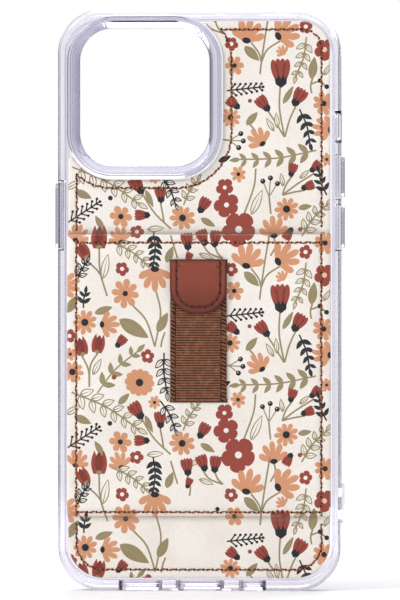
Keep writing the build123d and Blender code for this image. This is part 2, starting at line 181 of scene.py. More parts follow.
def scuff_effect():
    """Roughness from a smooth value to a rough one: cloudy noise, or long thin scratches, which
    are noise stretched twelve to one, wherever those are more."""
    inputs = {"Smooth": 0.03, "Rough": 0.12, "Scratches": 0.5}
    tree, given, out = effect("scuffs", inputs, {"Roughness": "Float"})
    where = object_place(tree)
    cloud = noise(tree, where, 90.0, 4.0, 0.6)
    long_way = stretched(tree, where, (1.0, 1.0, 0.08), (0.3, 0.5, 0.9))
    line = ramp(tree, noise(tree, long_way, 1500.0, 2.0), 0.64, 0.72)
    marks = sums(tree, "MAXIMUM", cloud, times(tree, line, given["Scratches"]))
    rough = ramp(tree, marks, 0.3, 0.75, given["Smooth"], given["Rough"])
    feed(tree, out, {"Roughness": rough})
    return tree


scuffs = scuff_effect()


def mould_line_effect():
    """Height of the faint lines that the mould leaves parallel to the outline. A rounded
    rectangle's distance is the length of what is left of X and Z past the middles of its corner
    circles; the lines are a sine of that distance, sharpened, and broken by slow noise."""
    inputs = {"Half Width": 0.0281, "Half Height": 0.0708, "Lines": 5000.0}
    tree, given, out = effect("mould_lines", inputs, {"Height": "Float"})
    where = object_place(tree)
    spot = axes(tree, where)
    past = [
        sums(tree, "SUBTRACT", sums(tree, "ABSOLUTE", spot[axis]), given[half])
        for axis, half in (("X", "Half Width"), ("Z", "Half Height"))
    ]
    past = [sums(tree, "MAXIMUM", side) for side in past]
    square = [times(tree, side, side) for side in past]
    reach = sums(tree, "SQRT", sums(tree, "ADD", *square))
    wave = sums(tree, "SINE", times(tree, reach, given["Lines"]))
    broken = ramp(tree, noise(tree, where, 55.0, 2.0), 0.3, 0.6, 0.6, 1.0)
    feed(tree, out, {"Height": times(tree, ramp(tree, wave, 0.3, 1.0), broken)})
    return tree


mould_lines = mould_line_effect()


def clear_plastic(name, tint, smooth, rough, bend=1.49, lined=0.0):
    """Clear plastic with a tint, whose gloss is broken by the scuffs and by the mould's lines."""
    material, tree, shader = finish(
        name, Base_Color=tone(*tint), Transmission_Weight=1.0, IOR=bend
    )
    marks = placed(tree, scuffs, Smooth=smooth, Rough=rough)
    feed(tree, shader, {"Roughness": marks["Roughness"]})
    if lined:
        lines = placed(tree, mould_lines)
        feed(tree, shader, {"Normal": bump(tree, lines["Height"], lined, 0.0001)})
    return material


wear(["bumper_frame"], clear_plastic("clear_soft_shell", SHELL_TINT, 0.04, 0.16, lined=0.8))


# ------------------------------------------------------------------ clear back plate
# A hard clear plate closes the back of the frame behind the phone. It is flat and packed as it
# is, a little clearer and smoother than the frame.
PLATE_TINT = (240, 240, 244)

wear(["back_plate"], clear_plastic("clear_hard_plate", PLATE_TINT, 0.02, 0.08, 1.52))


# ------------------------------------------------------------------ camera guard
# A raised ring of the same clear soft plastic stands round the camera, bevelled inside and
# rounded outside, so the lenses never touch a table. It is moulded against the plate with a
# hair's breadth between them, and a fine parting line runs round its top.
MM = 0.001
GUARD_TINT = (226, 224, 235)
GUARD_PATCH = (220, 218, 230)
# Painted shade at the hole's edge and in the parting groove.
GUARD_EDGE_SHADE = (104, 99, 122)
GUARD_FOOT = 1.24
GUARD_TOP = 4.4
GUARD_WIDTH = 3.6
PACKED_WIDTH = 3.65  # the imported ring's own width
GUARD_GROOVE = 2.57  # from the hole's edge
HOLE_RADIUS = 9.4


def node_triangles(name):
    """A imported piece's triangles as places in X, Z and height over the seat, in mm: n by 3 by 3."""
    mesh = nodes[name].data
    mesh.calc_loop_triangles()
    corners = np.zeros(3 * len(mesh.vertices), np.float32)
    mesh.vertices.foreach_get("co", corners)
    picked = np.zeros(3 * len(mesh.loop_triangles), np.int32)
    mesh.loop_triangles.foreach_get("vertices", picked)
    places = corners.reshape(-1, 3)[picked.reshape(-1, 3)].astype(float) / MM
    return np.stack([places[..., 0], places[..., 2], -places[..., 1]], axis=-1)


def mesh_of(name, points, triangles, smooth_to=0.7):
    """A mesh object from points in mm (X, Z and height) and triangles that turn anticlockwise
    from outside; edges that fold more than an angle stay sharp."""
    mesh = bpy.data.meshes.new(name)
    places = np.stack([points[:, 0], -points[:, 2], points[:, 1]], axis=1) * MM
    mesh.vertices.add(len(points))
    mesh.vertices.foreach_set("co", places.astype(np.float32).ravel())
    mesh.loops.add(3 * len(triangles))
    mesh.loops.foreach_set("vertex_index", triangles.astype(np.int32).ravel())
    mesh.polygons.add(len(triangles))
    mesh.polygons.foreach_set("loop_start", np.arange(0, 3 * len(triangles), 3, dtype=np.int32))
    mesh.polygons.foreach_set("use_smooth", np.ones(len(triangles), bool))
    mesh.update(calc_edges=True)
    mesh.set_sharp_from_angle(angle=smooth_to)
    piece = bpy.data.objects.new(name, mesh)
    bpy.context.scene.collection.objects.link(piece)
    return piece


def read(tree, name, kind="Fac"):
    """An attribute of the piece, as a number, or as a vector or a colour."""
    return add(tree, "Attribute", {}, attribute_name=name).outputs[kind]


def mark(piece, name, kind, values, where="POINT"):
    """Writes an attribute on a mesh: one number, vector or colour for each point or corner."""
    key = {"FLOAT": "value", "FLOAT_VECTOR": "vector", "FLOAT_COLOR": "color"}[kind]
    made = piece.data.attributes.new(name, kind, where)
    made.data.foreach_set(key, np.ascontiguousarray(values, np.float32).ravel())


def grid_faces(rows, wide, first=0, closed=False):
    """Two triangles for each cell of a grid of points that is closed across its width, and, where
    asked, from its last row to its first. Rows run along the first number."""
    s, k = np.meshgrid(np.arange(rows if closed else rows - 1), np.arange(wide), indexing="ij")
    a, b = s * wide + k, s * wide + (k + 1) % wide
    c, d = (s + 1) % rows * wide + k, (s + 1) % rows * wide + (k + 1) % wide
    return np.stack([np.stack([a, c, d], -1), np.stack([a, d, b], -1)], 2).reshape(-1, 3) + first


def softened(corners, radius, steps=4):
    """A closed outline with each corner cut back by a radius and rounded with a quadratic curve
    through it. The cut is at most 0.45 of either side."""
    before, after = np.roll(corners, 1, axis=0) - corners, np.roll(corners, -1, axis=0) - corners
    start, end = (
        corners + way * np.minimum(radius / np.linalg.norm(way, axis=1), 0.45)[:, None]
        for way in (before, after)
    )
    t = np.linspace(0, 1, steps + 1)[None, :, None]
    curve = (1 - t) ** 2 * start[:, None] + 2 * t * (1 - t) * corners[:, None]
    return (curve + t**2 * end[:, None]).reshape(-1, 2)


def round_the_hole(centre, half, radius, arc=14, straight=10):
    """Places and outward headings round a rounded rectangle: quarter circles joined by straight
    runs, anticlockwise."""
    angles = np.concatenate([np.linspace(q, q + 1, arc + 1) for q in range(4)]) * np.pi / 2
    way = np.stack([np.cos(angles), np.sin(angles)], axis=1)
    side = np.repeat(np.array([(1, 1), (-1, 1), (-1, -1), (1, -1)]), arc + 1, axis=0)
    corners = centre + side * (half - radius) + radius * way
    places, headings = [], []
    for quarter in range(4):
        last = quarter * (arc + 1) + arc
        onward = (last + 1) % len(corners)
        share = np.linspace(0, 1, straight + 1)[1:-1, None]
        between = corners[last] * (1 - share) + corners[onward] * share
        places += [corners[last - arc : last + 1], between]
        headings += [way[last - arc : last + 1], np.repeat(way[last][None], straight - 1, axis=0)]
    return np.concatenate(places), np.concatenate(headings)


def guard_ring():
    """The ring's section carried round the hole: a wall at the hole, a broad bevel, a flat top
    with a fine parting groove, and a rounded outer edge. Out is away from the hole."""
    hole = node_triangles("camera_guard_ring").reshape(-1, 3)
    low, high = hole.min(axis=0)[:2] + PACKED_WIDTH, hole.max(axis=0)[:2] - PACKED_WIDTH
    places, headings = round_the_hole((low + high) / 2, (high - low) / 2, HOLE_RADIUS)
    top = GUARD_TOP
    section = np.array(
        [
            (0.03, GUARD_FOOT), (0.03, 2.3), (0.5, 3.15), (1.2, 3.9), (1.9, 4.32), (2.4, top),
            (2.5, top - 0.14), (2.64, top - 0.14), (2.74, top), (3.2, 4.3), (GUARD_WIDTH, 3.8),
            (GUARD_WIDTH, GUARD_FOOT),
        ]
    )
    section = softened(section, 0.3)
    s, k = np.meshgrid(np.arange(len(places)), np.arange(len(section)), indexing="ij")
    flat = places[s] + headings[s] * section[k][..., :1]
    points = np.concatenate([flat, section[k][..., 1:]], axis=-1).reshape(-1, 3)
    triangles = grid_faces(len(places), len(section), closed=True)[:, [0, 2, 1]]
    ring = mesh_of("camera_guard_moulded", points, triangles, 0.8)
    mark(ring, "from_hole", "FLOAT", np.tile(section[:, 0], len(places)))
    return ring


def guard_plastic():
    """The ring's clear plastic: painted shade in a thin line at the hole's edge and in the parting
    groove, and a deeper tint in faint slow patches."""
    material, tree, shader = finish("clear_guard", Transmission_Weight=1.0, IOR=1.49)
    marks = placed(tree, scuffs, Smooth=0.04, Rough=0.13)
    out = read(tree, "from_hole")
    groove = sums(tree, "ABSOLUTE", sums(tree, "SUBTRACT", out, GUARD_GROOVE))
    edge = ramp(tree, out, 0.6, 0.05, 0.0, 0.8)
    # Painted shade: a dark line at the hole's edge and in the parting groove.
    line = sums(tree, "MAXIMUM", edge, ramp(tree, groove, 0.22, 0.02, 0.0, 0.55))
    patch = ramp(tree, noise(tree, object_place(tree), 60.0, 2.0), 0.35, 0.7)
    body = mix(tree, patch, tone(*GUARD_TINT), tone(*GUARD_PATCH))
    colour = mix(tree, line, body, tone(*GUARD_EDGE_SHADE))
    feed(tree, shader, {"Base Color": colour, "Roughness": marks["Roughness"]})
    return material


guard = guard_ring()
guard.data.materials.append(guard_plastic())
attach(guard, "case")
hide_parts("camera_guard_ring")


# ------------------------------------------------------------------ side keys
# Three short keys in the side walls, moulded in a smokier clear plastic than the frame. Thumbs
# polish their faces and scratch them along their length.
KEY_TINT = (176, 174, 186)

key_plastic = clear_plastic("clear_button", KEY_TINT, 0.05, 0.2)
wear(["power_button", "volume_up_button", "volume_down_button"], key_plastic)


# ------------------------------------------------------------------ adhesive film
# A thin matt white film glues the panel to the plate and lies against it. It has the mottle of
# pressed glue, with small trapped bubbles.
FILM_WHITE = (233, 232, 228)
FILM_SHADE = (216, 214, 208)


def adhesive_film():
    """Matt white film: a slow mottle between two whites, and bubbles where cells are centred."""
    material, tree, shader = finish("adhesive_film", Roughness=0.6, Specular_IOR_Level=0.35)
    where = object_place(tree)
    mottle = noise(tree, where, 120.0, 5.0)
    cells = add(tree, "TexVoronoi", {"Vector": where, "Scale": 260.0}).outputs["Distance"]
    flat = ramp(tree, cells, 0.05, 0.16)
    colour = mix(tree, mottle, tone(*FILM_SHADE), tone(*FILM_WHITE))
    feed(tree, shader, {"Base Color": colour, "Normal": bump(tree, flat, 0.3, 0.0001)})
    return material


wear(["panel_adhesive"], adhesive_film())


# ------------------------------------------------------------------ backing boards
# Thin off-white fibre board keeps the leather panel flat, and a second, smaller one stiffens the
# pocket front. Both are die cut, with the flecks and soft fibres of pressed pulp.
BOARD_PALE = (236, 230, 219)
BOARD_FLECK = (196, 184, 164)


def fibre_board():
    """Pressed pulp: fine fibres stretched four to one, and sparse darker flecks."""
    material, tree, shader = finish("backing_board", Roughness=0.9, Specular_IOR_Level=0.2)
    where = object_place(tree)
    fibre = noise(tree, stretched(tree, where, (1.0, 1.0, 0.25)), 2600.0)
    fleck = ramp(tree, noise(tree, where, 900.0, 1.0), 0.6, 0.72)
    colour = mix(tree, fleck, tone(*BOARD_PALE), tone(*BOARD_FLECK))
    feed(tree, shader, {"Base Color": colour, "Normal": bump(tree, fibre, 0.5, 0.0001)})
    return material


wear(["panel_backing_board", "pocket_stiffener"], fibre_board())


# ------------------------------------------------------------------ printed base leather
# One sheet of cream coated leather, cut to an L round the camera guard and glued on its board.
# Flowers and leaves are printed on it, its cut edge is rubbed round, and a groove is pressed
# along each seam, with a needle hole at every stitch.
BASE_FACE = 2.55  # the leather's face, over the phone seat
BASE_BACK = 1.85
CREAM = (237, 232, 223)
EDGE_CREAM = (214, 200, 186)
SUEDE = (205, 190, 172)
# The painted shade inside each needle hole.
HOLE_SHADE = (30, 15, 9)
EDGE_ROLL_WIDTH = 0.9
EDGE_ROLL_DROP = 0.4
SEAM_GROOVE = 0.22
REPEAT = 64.5  # the print repeats down the case
ABOVE_POCKET = (18.0, 82.0)  # the stretches of the panel that the pocket leaves bare
BELOW_POCKET = (-82.0, -60.0)
RUST = (148, 64, 52)
DEEP_RUST = (124, 48, 40)
PEACH = (208, 148, 110)
PALE_PEACH = (228, 186, 158)
OLIVE = (146, 134, 98)
TEAL = (14, 30, 37)
RUBBED = (224, 212, 200)
# The next two colours are painted shade: in the grain's creases, and in bands beside the pocket's
# mouth and foot.
CREASE_SHADE = (120, 96, 84)
POCKET_EDGE_SHADE = (150, 128, 112)
# Painted shade bands beside the pocket's mouth and foot, in metres of Z: where one starts, is
# deepest and ends.
MOUTH_SHADE_BAND = (0.0185, 0.0187, 0.0212)
FOOT_SHADE_BAND = (-0.0618, -0.0621, -0.0642)


def face_loops(name, height):
    """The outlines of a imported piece's flat face at a height: edges that only one of its
    triangles has, followed from end to end. The widest outline comes first."""
    flat = node_triangles(name)
    flat = flat[np.all(np.abs(flat[..., 2] - height) < 0.01, axis=1)][..., :2]
    spots, joined = np.unique(np.round(flat.reshape(-1, 2), 3), axis=0, return_inverse=True)
    corners = joined.reshape(-1, 3)
    ways = np.concatenate([corners[:, [0, 1]], corners[:, [1, 2]], corners[:, [2, 0]]])
    ways = ways[ways[:, 0] != ways[:, 1]]
    code = ways[:, 0] * len(spots) + ways[:, 1]
    back = ways[:, 1] * len(spots) + ways[:, 0]
    onward = dict(ways[~np.isin(code, back)].tolist())
    loops = []
    while onward:
        first, here = onward.popitem()
        loop = [first]
        while here != first:
            loop.append(here)
            here = onward.pop(here)
        loops.append(spots[loop])
    return sorted(loops, key=lambda loop: -np.ptp(loop, axis=0).sum())


def divided(loop, step):
    """A closed outline with places added, so that no neighbours are further apart than a step."""
    ahead = np.roll(loop, -1, axis=0)
    counts = np.maximum(1, np.ceil(np.linalg.norm(ahead - loop, axis=1) / step)).astype(int)
    start = np.repeat(np.arange(len(loop)), counts)
    share = np.concatenate([np.arange(count) / count for count in counts])[:, None]
    return loop[start] * (1 - share) + ahead[start] * share


def distance(spots, marks, cell=6.0, far=7.0):
    """How far each spot is from its nearest mark, up to a limit. Spots are sorted into square
    cells, and each cell is compared only with the marks that are in reach of it."""
    found = np.full(len(spots), far)
    square = np.floor(spots / cell).astype(int)
    order = np.lexsort((square[:, 1], square[:, 0]))
    ends = np.flatnonzero(np.any(np.diff(square[order], axis=0) != 0, axis=1)) + 1
    for members in np.split(order, ends):
        low = square[members[0]] * cell
        near = marks[np.all((marks > low - far) & (marks < low + cell + far), axis=1)]
        if len(near):
            gaps = ((spots[members][:, None] - near[None]) ** 2).sum(axis=2).min(axis=1)
            found[members] = np.minimum(np.sqrt(gaps), far)
    return found


def stitch_places(name):
    """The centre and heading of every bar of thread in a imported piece. Triangles that share a
    corner get the same number, the lowest in reach, until nothing changes; each bar is then its
    number's mean place, and its heading is the long axis of its spread."""
    places = node_triangles(name)
    spots, joined = np.unique(np.round(places.reshape(-1, 3), 3), axis=0, return_inverse=True)
    corners = joined.reshape(-1, 3)
    number = np.arange(len(spots))
    while True:
        lowest = number.copy()
        least = number[corners].min(axis=1)
        for side in range(3):
            np.minimum.at(lowest, corners[:, side], least)
        if np.array_equal(lowest, number):
            break
        number = lowest
    _, bar, count = np.unique(number, return_inverse=True, return_counts=True)
    flat = spots[:, :2]
    centre = np.stack([np.bincount(bar, flat[:, side]) for side in (0, 1)], axis=1) / count[:, None]
    off = flat - centre[bar]
    wide = np.bincount(bar, off[:, 0] ** 2) - np.bincount(bar, off[:, 1] ** 2)
    slope = np.bincount(bar, 2 * off[:, 0] * off[:, 1])
    turn = np.arctan2(slope, wide) / 2
    return centre, np.stack([np.cos(turn), np.sin(turn)], axis=1)


def needle_holes(places, pitch):
    """One hole at each end of every stitch, half a pitch from its centre; holes that two stitches
    share are kept once."""
    centre, heading = places
    ends = np.concatenate([centre + heading * pitch / 2, centre - heading * pitch / 2])
    gaps = np.sqrt(((ends[:, None] - ends[None]) ** 2).sum(axis=2))
    earlier = np.tril(gaps < 0.8, -1).any(axis=1)
    return ends[~earlier]


def seam_line(places, pitch):
    """Spots a quarter of a millimetre apart along every stitch and half the gap after it."""
    centre, heading = places
    along = np.arange(-pitch / 2, pitch / 2 + 0.1, 0.25)
    return (centre[:, None] + heading[:, None] * along[None, :, None]).reshape(-1, 2)


def covered(spots, shape):
    """Which spots lie inside a closed outline: a line drawn to the right from such a spot
    crosses the outline an odd number of times."""
    inside = np.zeros(len(spots), bool)
    near = np.flatnonzero(np.all((spots > shape.min(axis=0)) & (spots < shape.max(axis=0)), axis=1))
    x, z = spots[near, 0][:, None], spots[near, 1][:, None]
    (x1, z1), (x2, z2) = shape.T, np.roll(shape, -1, axis=0).T
    rise = np.where(z2 == z1, 1, z2 - z1)
    crossed = ((z1 > z) != (z2 > z)) & (x < x1 + (z - z1) * (x2 - x1) / rise)
    inside[near] = crossed.sum(axis=1) % 2 == 1
    return inside


def leather_piece(name, loops, face, back, drawings, guides=(), grid=0.8, walls=4):
    """A closed sheet of leather. Its face is every triangle of a constrained triangulation that
    lies inside the first loop and outside the others, lifted to face(places). Each drawing is an
    outline in that triangulation, and the last one round a triangle gives it its colour. The
    back is the same triangles turned round at back(places), and walls join the two."""
    rims = [divided(loop, 0.5) for loop in loops]
    rim_marks = np.concatenate([divided(loop, 0.2) for loop in loops])
    low, high = loops[0].min(axis=0), loops[0].max(axis=0)
    columns, rows = np.arange(low[0], high[0], grid), np.arange(low[1], high[1], grid * 0.87)
    across, up = np.meshgrid(columns, rows)
    across = across + (np.arange(len(up)) % 2 * grid / 2)[:, None]
    free = [np.stack([across.ravel(), up.ravel()], axis=1)]
    for rim in rims:
        ahead = np.roll(rim, -1, axis=0) - np.roll(rim, 1, axis=0)
        inward = np.stack([-ahead[:, 1], ahead[:, 0]], axis=1)
        inward /= np.linalg.norm(inward, axis=1)[:, None]
        for inset in (0.12, 0.3, 0.55, 0.9):
            ring = rim + inward * inset
            free.append(ring[distance(ring, rim_marks) > 0.93 * inset])
    free[0] = free[0][distance(free[0], rim_marks) > 1.25]
    shapes = rims + [shape for shape, _ in drawings]
    starts = np.cumsum([0] + [len(line) for line in shapes + list(guides)])
    spots = np.concatenate(shapes + list(guides) + free)
    lines = [np.stack([np.arange(a, b), np.append(np.arange(a + 1, b), a)], axis=1)
             for a, b in zip(starts[: len(shapes)], starts[1:])]
    lines += [np.stack([np.arange(a, b - 1), np.arange(a + 1, b)], axis=1)
              for a, b in zip(starts[len(shapes) : -1], starts[len(shapes) + 1 :])]
    places = [Vector(spot) for spot in spots.tolist()]
    cut = delaunay_2d_cdt(places, np.concatenate(lines).tolist(), [], 0, 1e-5, False)
    flat = np.array([tuple(spot) for spot in cut[0]])
    triangles = np.array(cut[2])
    centres = flat[triangles].mean(axis=1)
    inside = covered(centres, loops[0])
    for loop in loops[1:]:
        inside &= ~covered(centres, loop)
    drawn = np.zeros(len(centres), int)
    for number, (shape, _) in enumerate(drawings):
        drawn[covered(centres, shape)] = number + 1
    drawn = drawn[inside]
    used, corners = np.unique(triangles[inside], return_inverse=True)
    flat, corners = flat[used], corners.reshape(-1, 3)
    ways = np.concatenate([corners[:, [0, 1]], corners[:, [1, 2]], corners[:, [2, 0]]])
    alone = ~np.isin(ways[:, 0] * len(flat) + ways[:, 1], ways[:, 1] * len(flat) + ways[:, 0])
    edge = ways[alone]
    edge_spots, edge_ends = np.unique(edge, return_inverse=True)
    edge_ends = edge_ends.reshape(-1, 2)
    upper, lower = face(flat), back(flat)
    rings = [
        np.column_stack([flat[edge_spots], upper[edge_spots] * (1 - s) + lower[edge_spots] * s])
        for s in np.linspace(0, 1, walls + 1)[1:-1]
    ]
    count, ring_count = len(flat), len(edge_spots)
    points = np.concatenate(
        [np.column_stack([flat, upper]), np.column_stack([flat, lower])] + rings
    )
    levels = [2 * count + ring_count * k + np.arange(ring_count) for k in range(walls - 1)]
    levels = [edge_spots] + levels + [edge_spots + count]
    sides = []
    for above, below in zip(levels[:-1], levels[1:]):
        a, b = above[edge_ends[:, 0]], above[edge_ends[:, 1]]
        c, d = below[edge_ends[:, 1]], below[edge_ends[:, 0]]
        sides += [np.stack([a, d, c], axis=1), np.stack([a, c, b], axis=1)]
    sides = np.concatenate(sides)
    everything = np.concatenate([corners, corners[:, ::-1] + count, sides])
    piece = mesh_of(name, points, everything)
    inks = np.array([tone(*CREAM)] + [tone(*ink) for _, ink in drawings])
    paint = np.concatenate(
        [
            inks[drawn],
            np.tile(tone(*SUEDE), (len(corners), 1)),
            np.tile(tone(*EDGE_CREAM), (len(sides), 1)),
        ]
    )
    mark(piece, "print_colour", "FLOAT_COLOR", np.repeat(paint, 3, axis=0), "CORNER")
    mark(piece, "from_rim", "FLOAT", np.minimum(distance(points[:, :2], rim_marks), 4.0))
    return piece


def rolled(inset, width=EDGE_ROLL_WIDTH, drop=EDGE_ROLL_DROP):
    """How far a face falls at its rounded edge: a quarter ellipse, all its drop at the rim."""
    share = np.clip(1 - inset / width, 0, 1)
    return drop * (1 - np.sqrt(1 - share**2 * 0.995))


def pressed(away, depth=SEAM_GROOVE, width=0.55):
    """How deep a seam pulls the leather in: a bell over the distance from its thread."""
    return depth * np.exp(-((away / width) ** 2))


def turned(shape, x, z, degrees):
    """A shape turned about its own origin, then moved to a place."""
    c, s = np.cos(np.radians(degrees)), np.sin(np.radians(degrees))
    return shape @ np.array([[c, s], [-s, c]]) + (x, z)


def disc(x, z, radius, ink, sides=14, tall=1.0):
    """A dot, or an oval where it is taller than wide."""
    t = np.arange(sides) * 2 * np.pi / sides
    return [(np.stack([x + radius * np.cos(t), z + tall * radius * np.sin(t)], axis=1), ink)]


def daisy(x, z, radius, petals, ink=PEACH, heart=TEAL, middle=0.24, notch=0.54, turn=0):
    """An open flower: its radius falls by the notch between petals, as the root of a cosine."""
    t = np.arange(petals * 14) * 2 * np.pi / (petals * 14)
    out = radius * (1 - notch + notch * np.abs(np.cos(petals * t / 2)) ** 0.5)
    out *= 1 + 0.05 * np.sin(2 * t + x)
    rim = np.stack([out * np.cos(t), out * np.sin(t)], axis=1)
    rim = turned(rim, x, z, turn + 20 * np.sin(x + z))
    return [(rim, ink)] + disc(x, z, radius * middle, heart)


def rust_flower(x, z, radius, turn=0):
    """A small five-petalled flower with a pale heart."""
    return daisy(x, z, radius, 5, RUST, CREAM, 0.3, 0.3, turn)


def fan_flower(x, z, radius, degrees, heart=True):
    """A flower seen from its side: a fan of long petals over two thirds of a half turn, with a
    dark oval where the petals are held. Its petals point along +z before it is turned."""
    petals = 5
    t = np.linspace(-0.5, 0.5, petals * 12 + 1)
    angle = np.pi / 2 - t * np.radians(168)
    petal = 0.5 + 0.5 * np.abs(np.sin(np.pi * petals * (t + 0.5))) ** 0.55
    out = 1.75 * radius * petal * (1 - 0.5 * t**2)
    fan = np.stack([0.82 * out * np.cos(angle), -0.75 * radius + out * np.sin(angle)], axis=1)
    fan = np.concatenate([[(0.0, -0.95 * radius)], fan])
    drawn = [(turned(fan, x, z, degrees), PEACH)]
    if heart:
        oval = disc(0, 0, 0.32 * radius, TEAL, tall=0.7)[0][0] + (0, -0.72 * radius)
        drawn.append((turned(oval, x, z, degrees), TEAL))
    return drawn


def bud(x, z, length, degrees, cup=TEAL, plump=0.78):
    """A closed flower: a cup that widens towards a lip of four small lobes, with two darker
    folds, on a small foot with a zigzag edge. Its tip points along +z before it is turned."""
    t = np.linspace(0, 1, 12)
    half = plump * length / 2
    bulge = half * np.sin(np.pi * (0.08 + 0.5 * t)) ** 0.9
    side = np.stack([bulge, (t * 0.86 - 0.5) * length], axis=1)
    k = np.linspace(1, -1, 17)[1:-1]
    lobes = 0.36 + 0.1 * np.abs(np.sin(2 * np.pi * k)) + 0.06 * (1 - k**2)
    lip = np.stack([half * k, lobes * length], axis=1)
    shell = np.concatenate([side, lip, side[::-1] * (-1, 1)])
    folds = [
        np.array([(way * 0.3, 0.34), (way * 0.14, 0.28), (way * 0.04, -0.3), (way * 0.16, -0.2)])
        * (2 * half, length)
        for way in (-1, 1)
    ]
    teeth = np.where(np.arange(7) % 2 == 0, -0.14, -0.3) * length
    w = np.linspace(-1, 1, 7)
    foot = np.array([(0.28, -0.5), (0.0, -0.66), (-0.28, -0.5)]) * (2 * half, length)
    cup_shape = np.concatenate([np.stack([0.66 * half * w, teeth], axis=1), foot])
    shapes = [(shell, RUST), (folds[0][::-1], DEEP_RUST), (folds[1], DEEP_RUST), (cup_shape, cup)]
    return [(turned(shape, x, z, degrees), paint) for shape, paint in shapes]


def tulip(x, z, width, height, degrees=0):
    """A cup of three pointed petals, the middle one darker, on a small green foot."""
    t = np.linspace(0, 1, 15)
    bulge = 0.5 * width * np.sin(np.pi * (0.22 + 0.62 * t)) ** 0.8
    side = np.stack([bulge, (t - 0.5) * height], axis=1)
    left = np.concatenate([side * (-1, 1), [(-0.1 * width, 0.12 * height)], [(0, -0.5 * height)]])
    right = np.concatenate([side, [(0.1 * width, 0.12 * height)], [(0, -0.5 * height)]])
    core = np.stack([0.27 * width * np.sin(np.pi * t) ** 0.7, (t - 0.52) * height * 0.92], axis=1)
    core = np.concatenate([core, core[::-1] * (-1, 1)])
    foot = np.array([(-0.2, -0.42), (0, -0.6), (0.2, -0.42), (0, -0.34)]) * (width, height)
    shapes = [(left, RUST), (right[::-1], RUST), (core, DEEP_RUST), (foot, OLIVE)]
    return [(turned(shape, x, z, degrees), paint) for shape, paint in shapes]


def leaf(x, z, length, width, degrees, ink=OLIVE, hollow=False):
    """A pointed leaf along +x before it is turned: a sine, fuller near its foot. A hollow one has
    its inside and a midrib drawn in line only; a solid one has a pale midrib."""
    t = np.linspace(0, 1, 13)
    half = 0.5 * width * np.sin(np.pi * t**0.82) ** 0.85
    rim = np.stack([(t - 0.5) * length, half], axis=1)
    shape = np.concatenate([rim, rim[-2:0:-1] * (1, -1)])
    drawn = [(shape, ink)]
    thin = 0.4 if hollow else 0.22
    rib = np.array([(-0.4, -0.5), (0.3, -0.1), (0.3, 0.1), (-0.4, 0.5)]) * (length, thin * 0.8)
    if hollow:
        small = np.array([1 - 0.95 / length, max(0.3, 1 - 0.66 / width)])
        drawn += [(shape * small, CREAM), (rib, ink)]
    else:
        drawn += [(rib, tuple(int(c * 0.8 + 45) for c in ink))]
    return [(turned(part, x, z, degrees), paint) for part, paint in drawn]


def stem(*points, ink=OLIVE, width=0.5):
    """A line of even width through its points, curved as a Catmull-Rom spline."""
    way = np.array(points, float)
    padded = np.concatenate([[2 * way[0] - way[1]], way, [2 * way[-1] - way[-2]]])
    span = np.repeat(np.arange(len(way) - 1), 8)
    t = np.tile(np.arange(8) / 8, len(way) - 1)[:, None]
    a, b, c, d = (padded[span + k] for k in range(4))
    line = 2 * b + (c - a) * t + (2 * a - 5 * b + 4 * c - d) * t**2
    line = (line + (3 * b - a - 3 * c + d) * t**3) / 2
    line = np.concatenate([line, way[-1:]])
    run = np.gradient(line, axis=0)
    across = np.stack([-run[:, 1], run[:, 0]], axis=1) / np.linalg.norm(run, axis=1)[:, None]
    return [(np.concatenate([line + across * width / 2, (line - across * width / 2)[::-1]]), ink)]


def sprig(x0, z0, x1, z1, size, pairs, ink=OLIVE, hollow=False, bend=0.06):
    """A bowed twig from its foot to its tip, with leaves that lean along it on both sides and
    shrink towards the tip."""
    foot, end = np.array([x0, z0], float), np.array([x1, z1], float)
    run = end - foot
    side = np.array([-run[1], run[0]])
    middle = (foot + end) / 2 + bend * side
    heading = np.degrees(np.arctan2(run[1], run[0]))
    drawn = stem(foot, middle, end, ink=ink, width=0.46)
    for k in range(pairs):
        t = (k + 0.7) / (pairs + 0.3)
        spot = foot * (1 - t) ** 2 + 2 * t * (1 - t) * (middle + bend * side) + end * t**2
        long = size * (1 - 0.35 * t)
        for way in (-1, 1):
            lean = np.radians(heading + way * 48)
            centre = spot + 0.5 * long * np.array([np.cos(lean), np.sin(lean)])
            wide = long * (0.52 if hollow else 0.44)
            drawn += leaf(*centre, long, wide, heading + way * 48, ink, hollow)
    tip = end + run / np.linalg.norm(run) * size * 0.3
    return drawn + leaf(*tip, size * 0.8, size * 0.34, heading, ink, hollow)


def bush(x0, z0, x1, z1, size):
    """A feathery twig: a thin line with side lines, each ending in a small dot."""
    foot, end = np.array([x0, z0], float), np.array([x1, z1], float)
    run = end - foot
    heading = np.arctan2(run[1], run[0])
    drawn = stem(foot, end, ink=TEAL, width=0.44) + disc(*end, 0.45, TEAL, 8)
    for k in range(6):
        spot = foot + run * (k + 0.6) / 6.4
        for way in (-1, 1):
            lean = heading + way * 0.8
            tip = spot + size * (0.62 - 0.05 * k) * np.array([np.cos(lean), np.sin(lean)])
            drawn += stem(spot, tip, ink=TEAL, width=0.4) + disc(*tip, 0.42, TEAL, 8)
    return drawn


def berries(foot, fork, *heads):
    """A stem that forks to several berries, each with a pale spot."""
    radius = 0.75
    drawn = stem(foot, fork)
    for head in heads:
        drawn += stem(fork, head, width=0.34) + disc(*head, radius, TEAL, 12)
        drawn += disc(head[0] - 0.2 * radius, head[1] + 0.3 * radius, radius * 0.22, CREAM, 6)
    return drawn


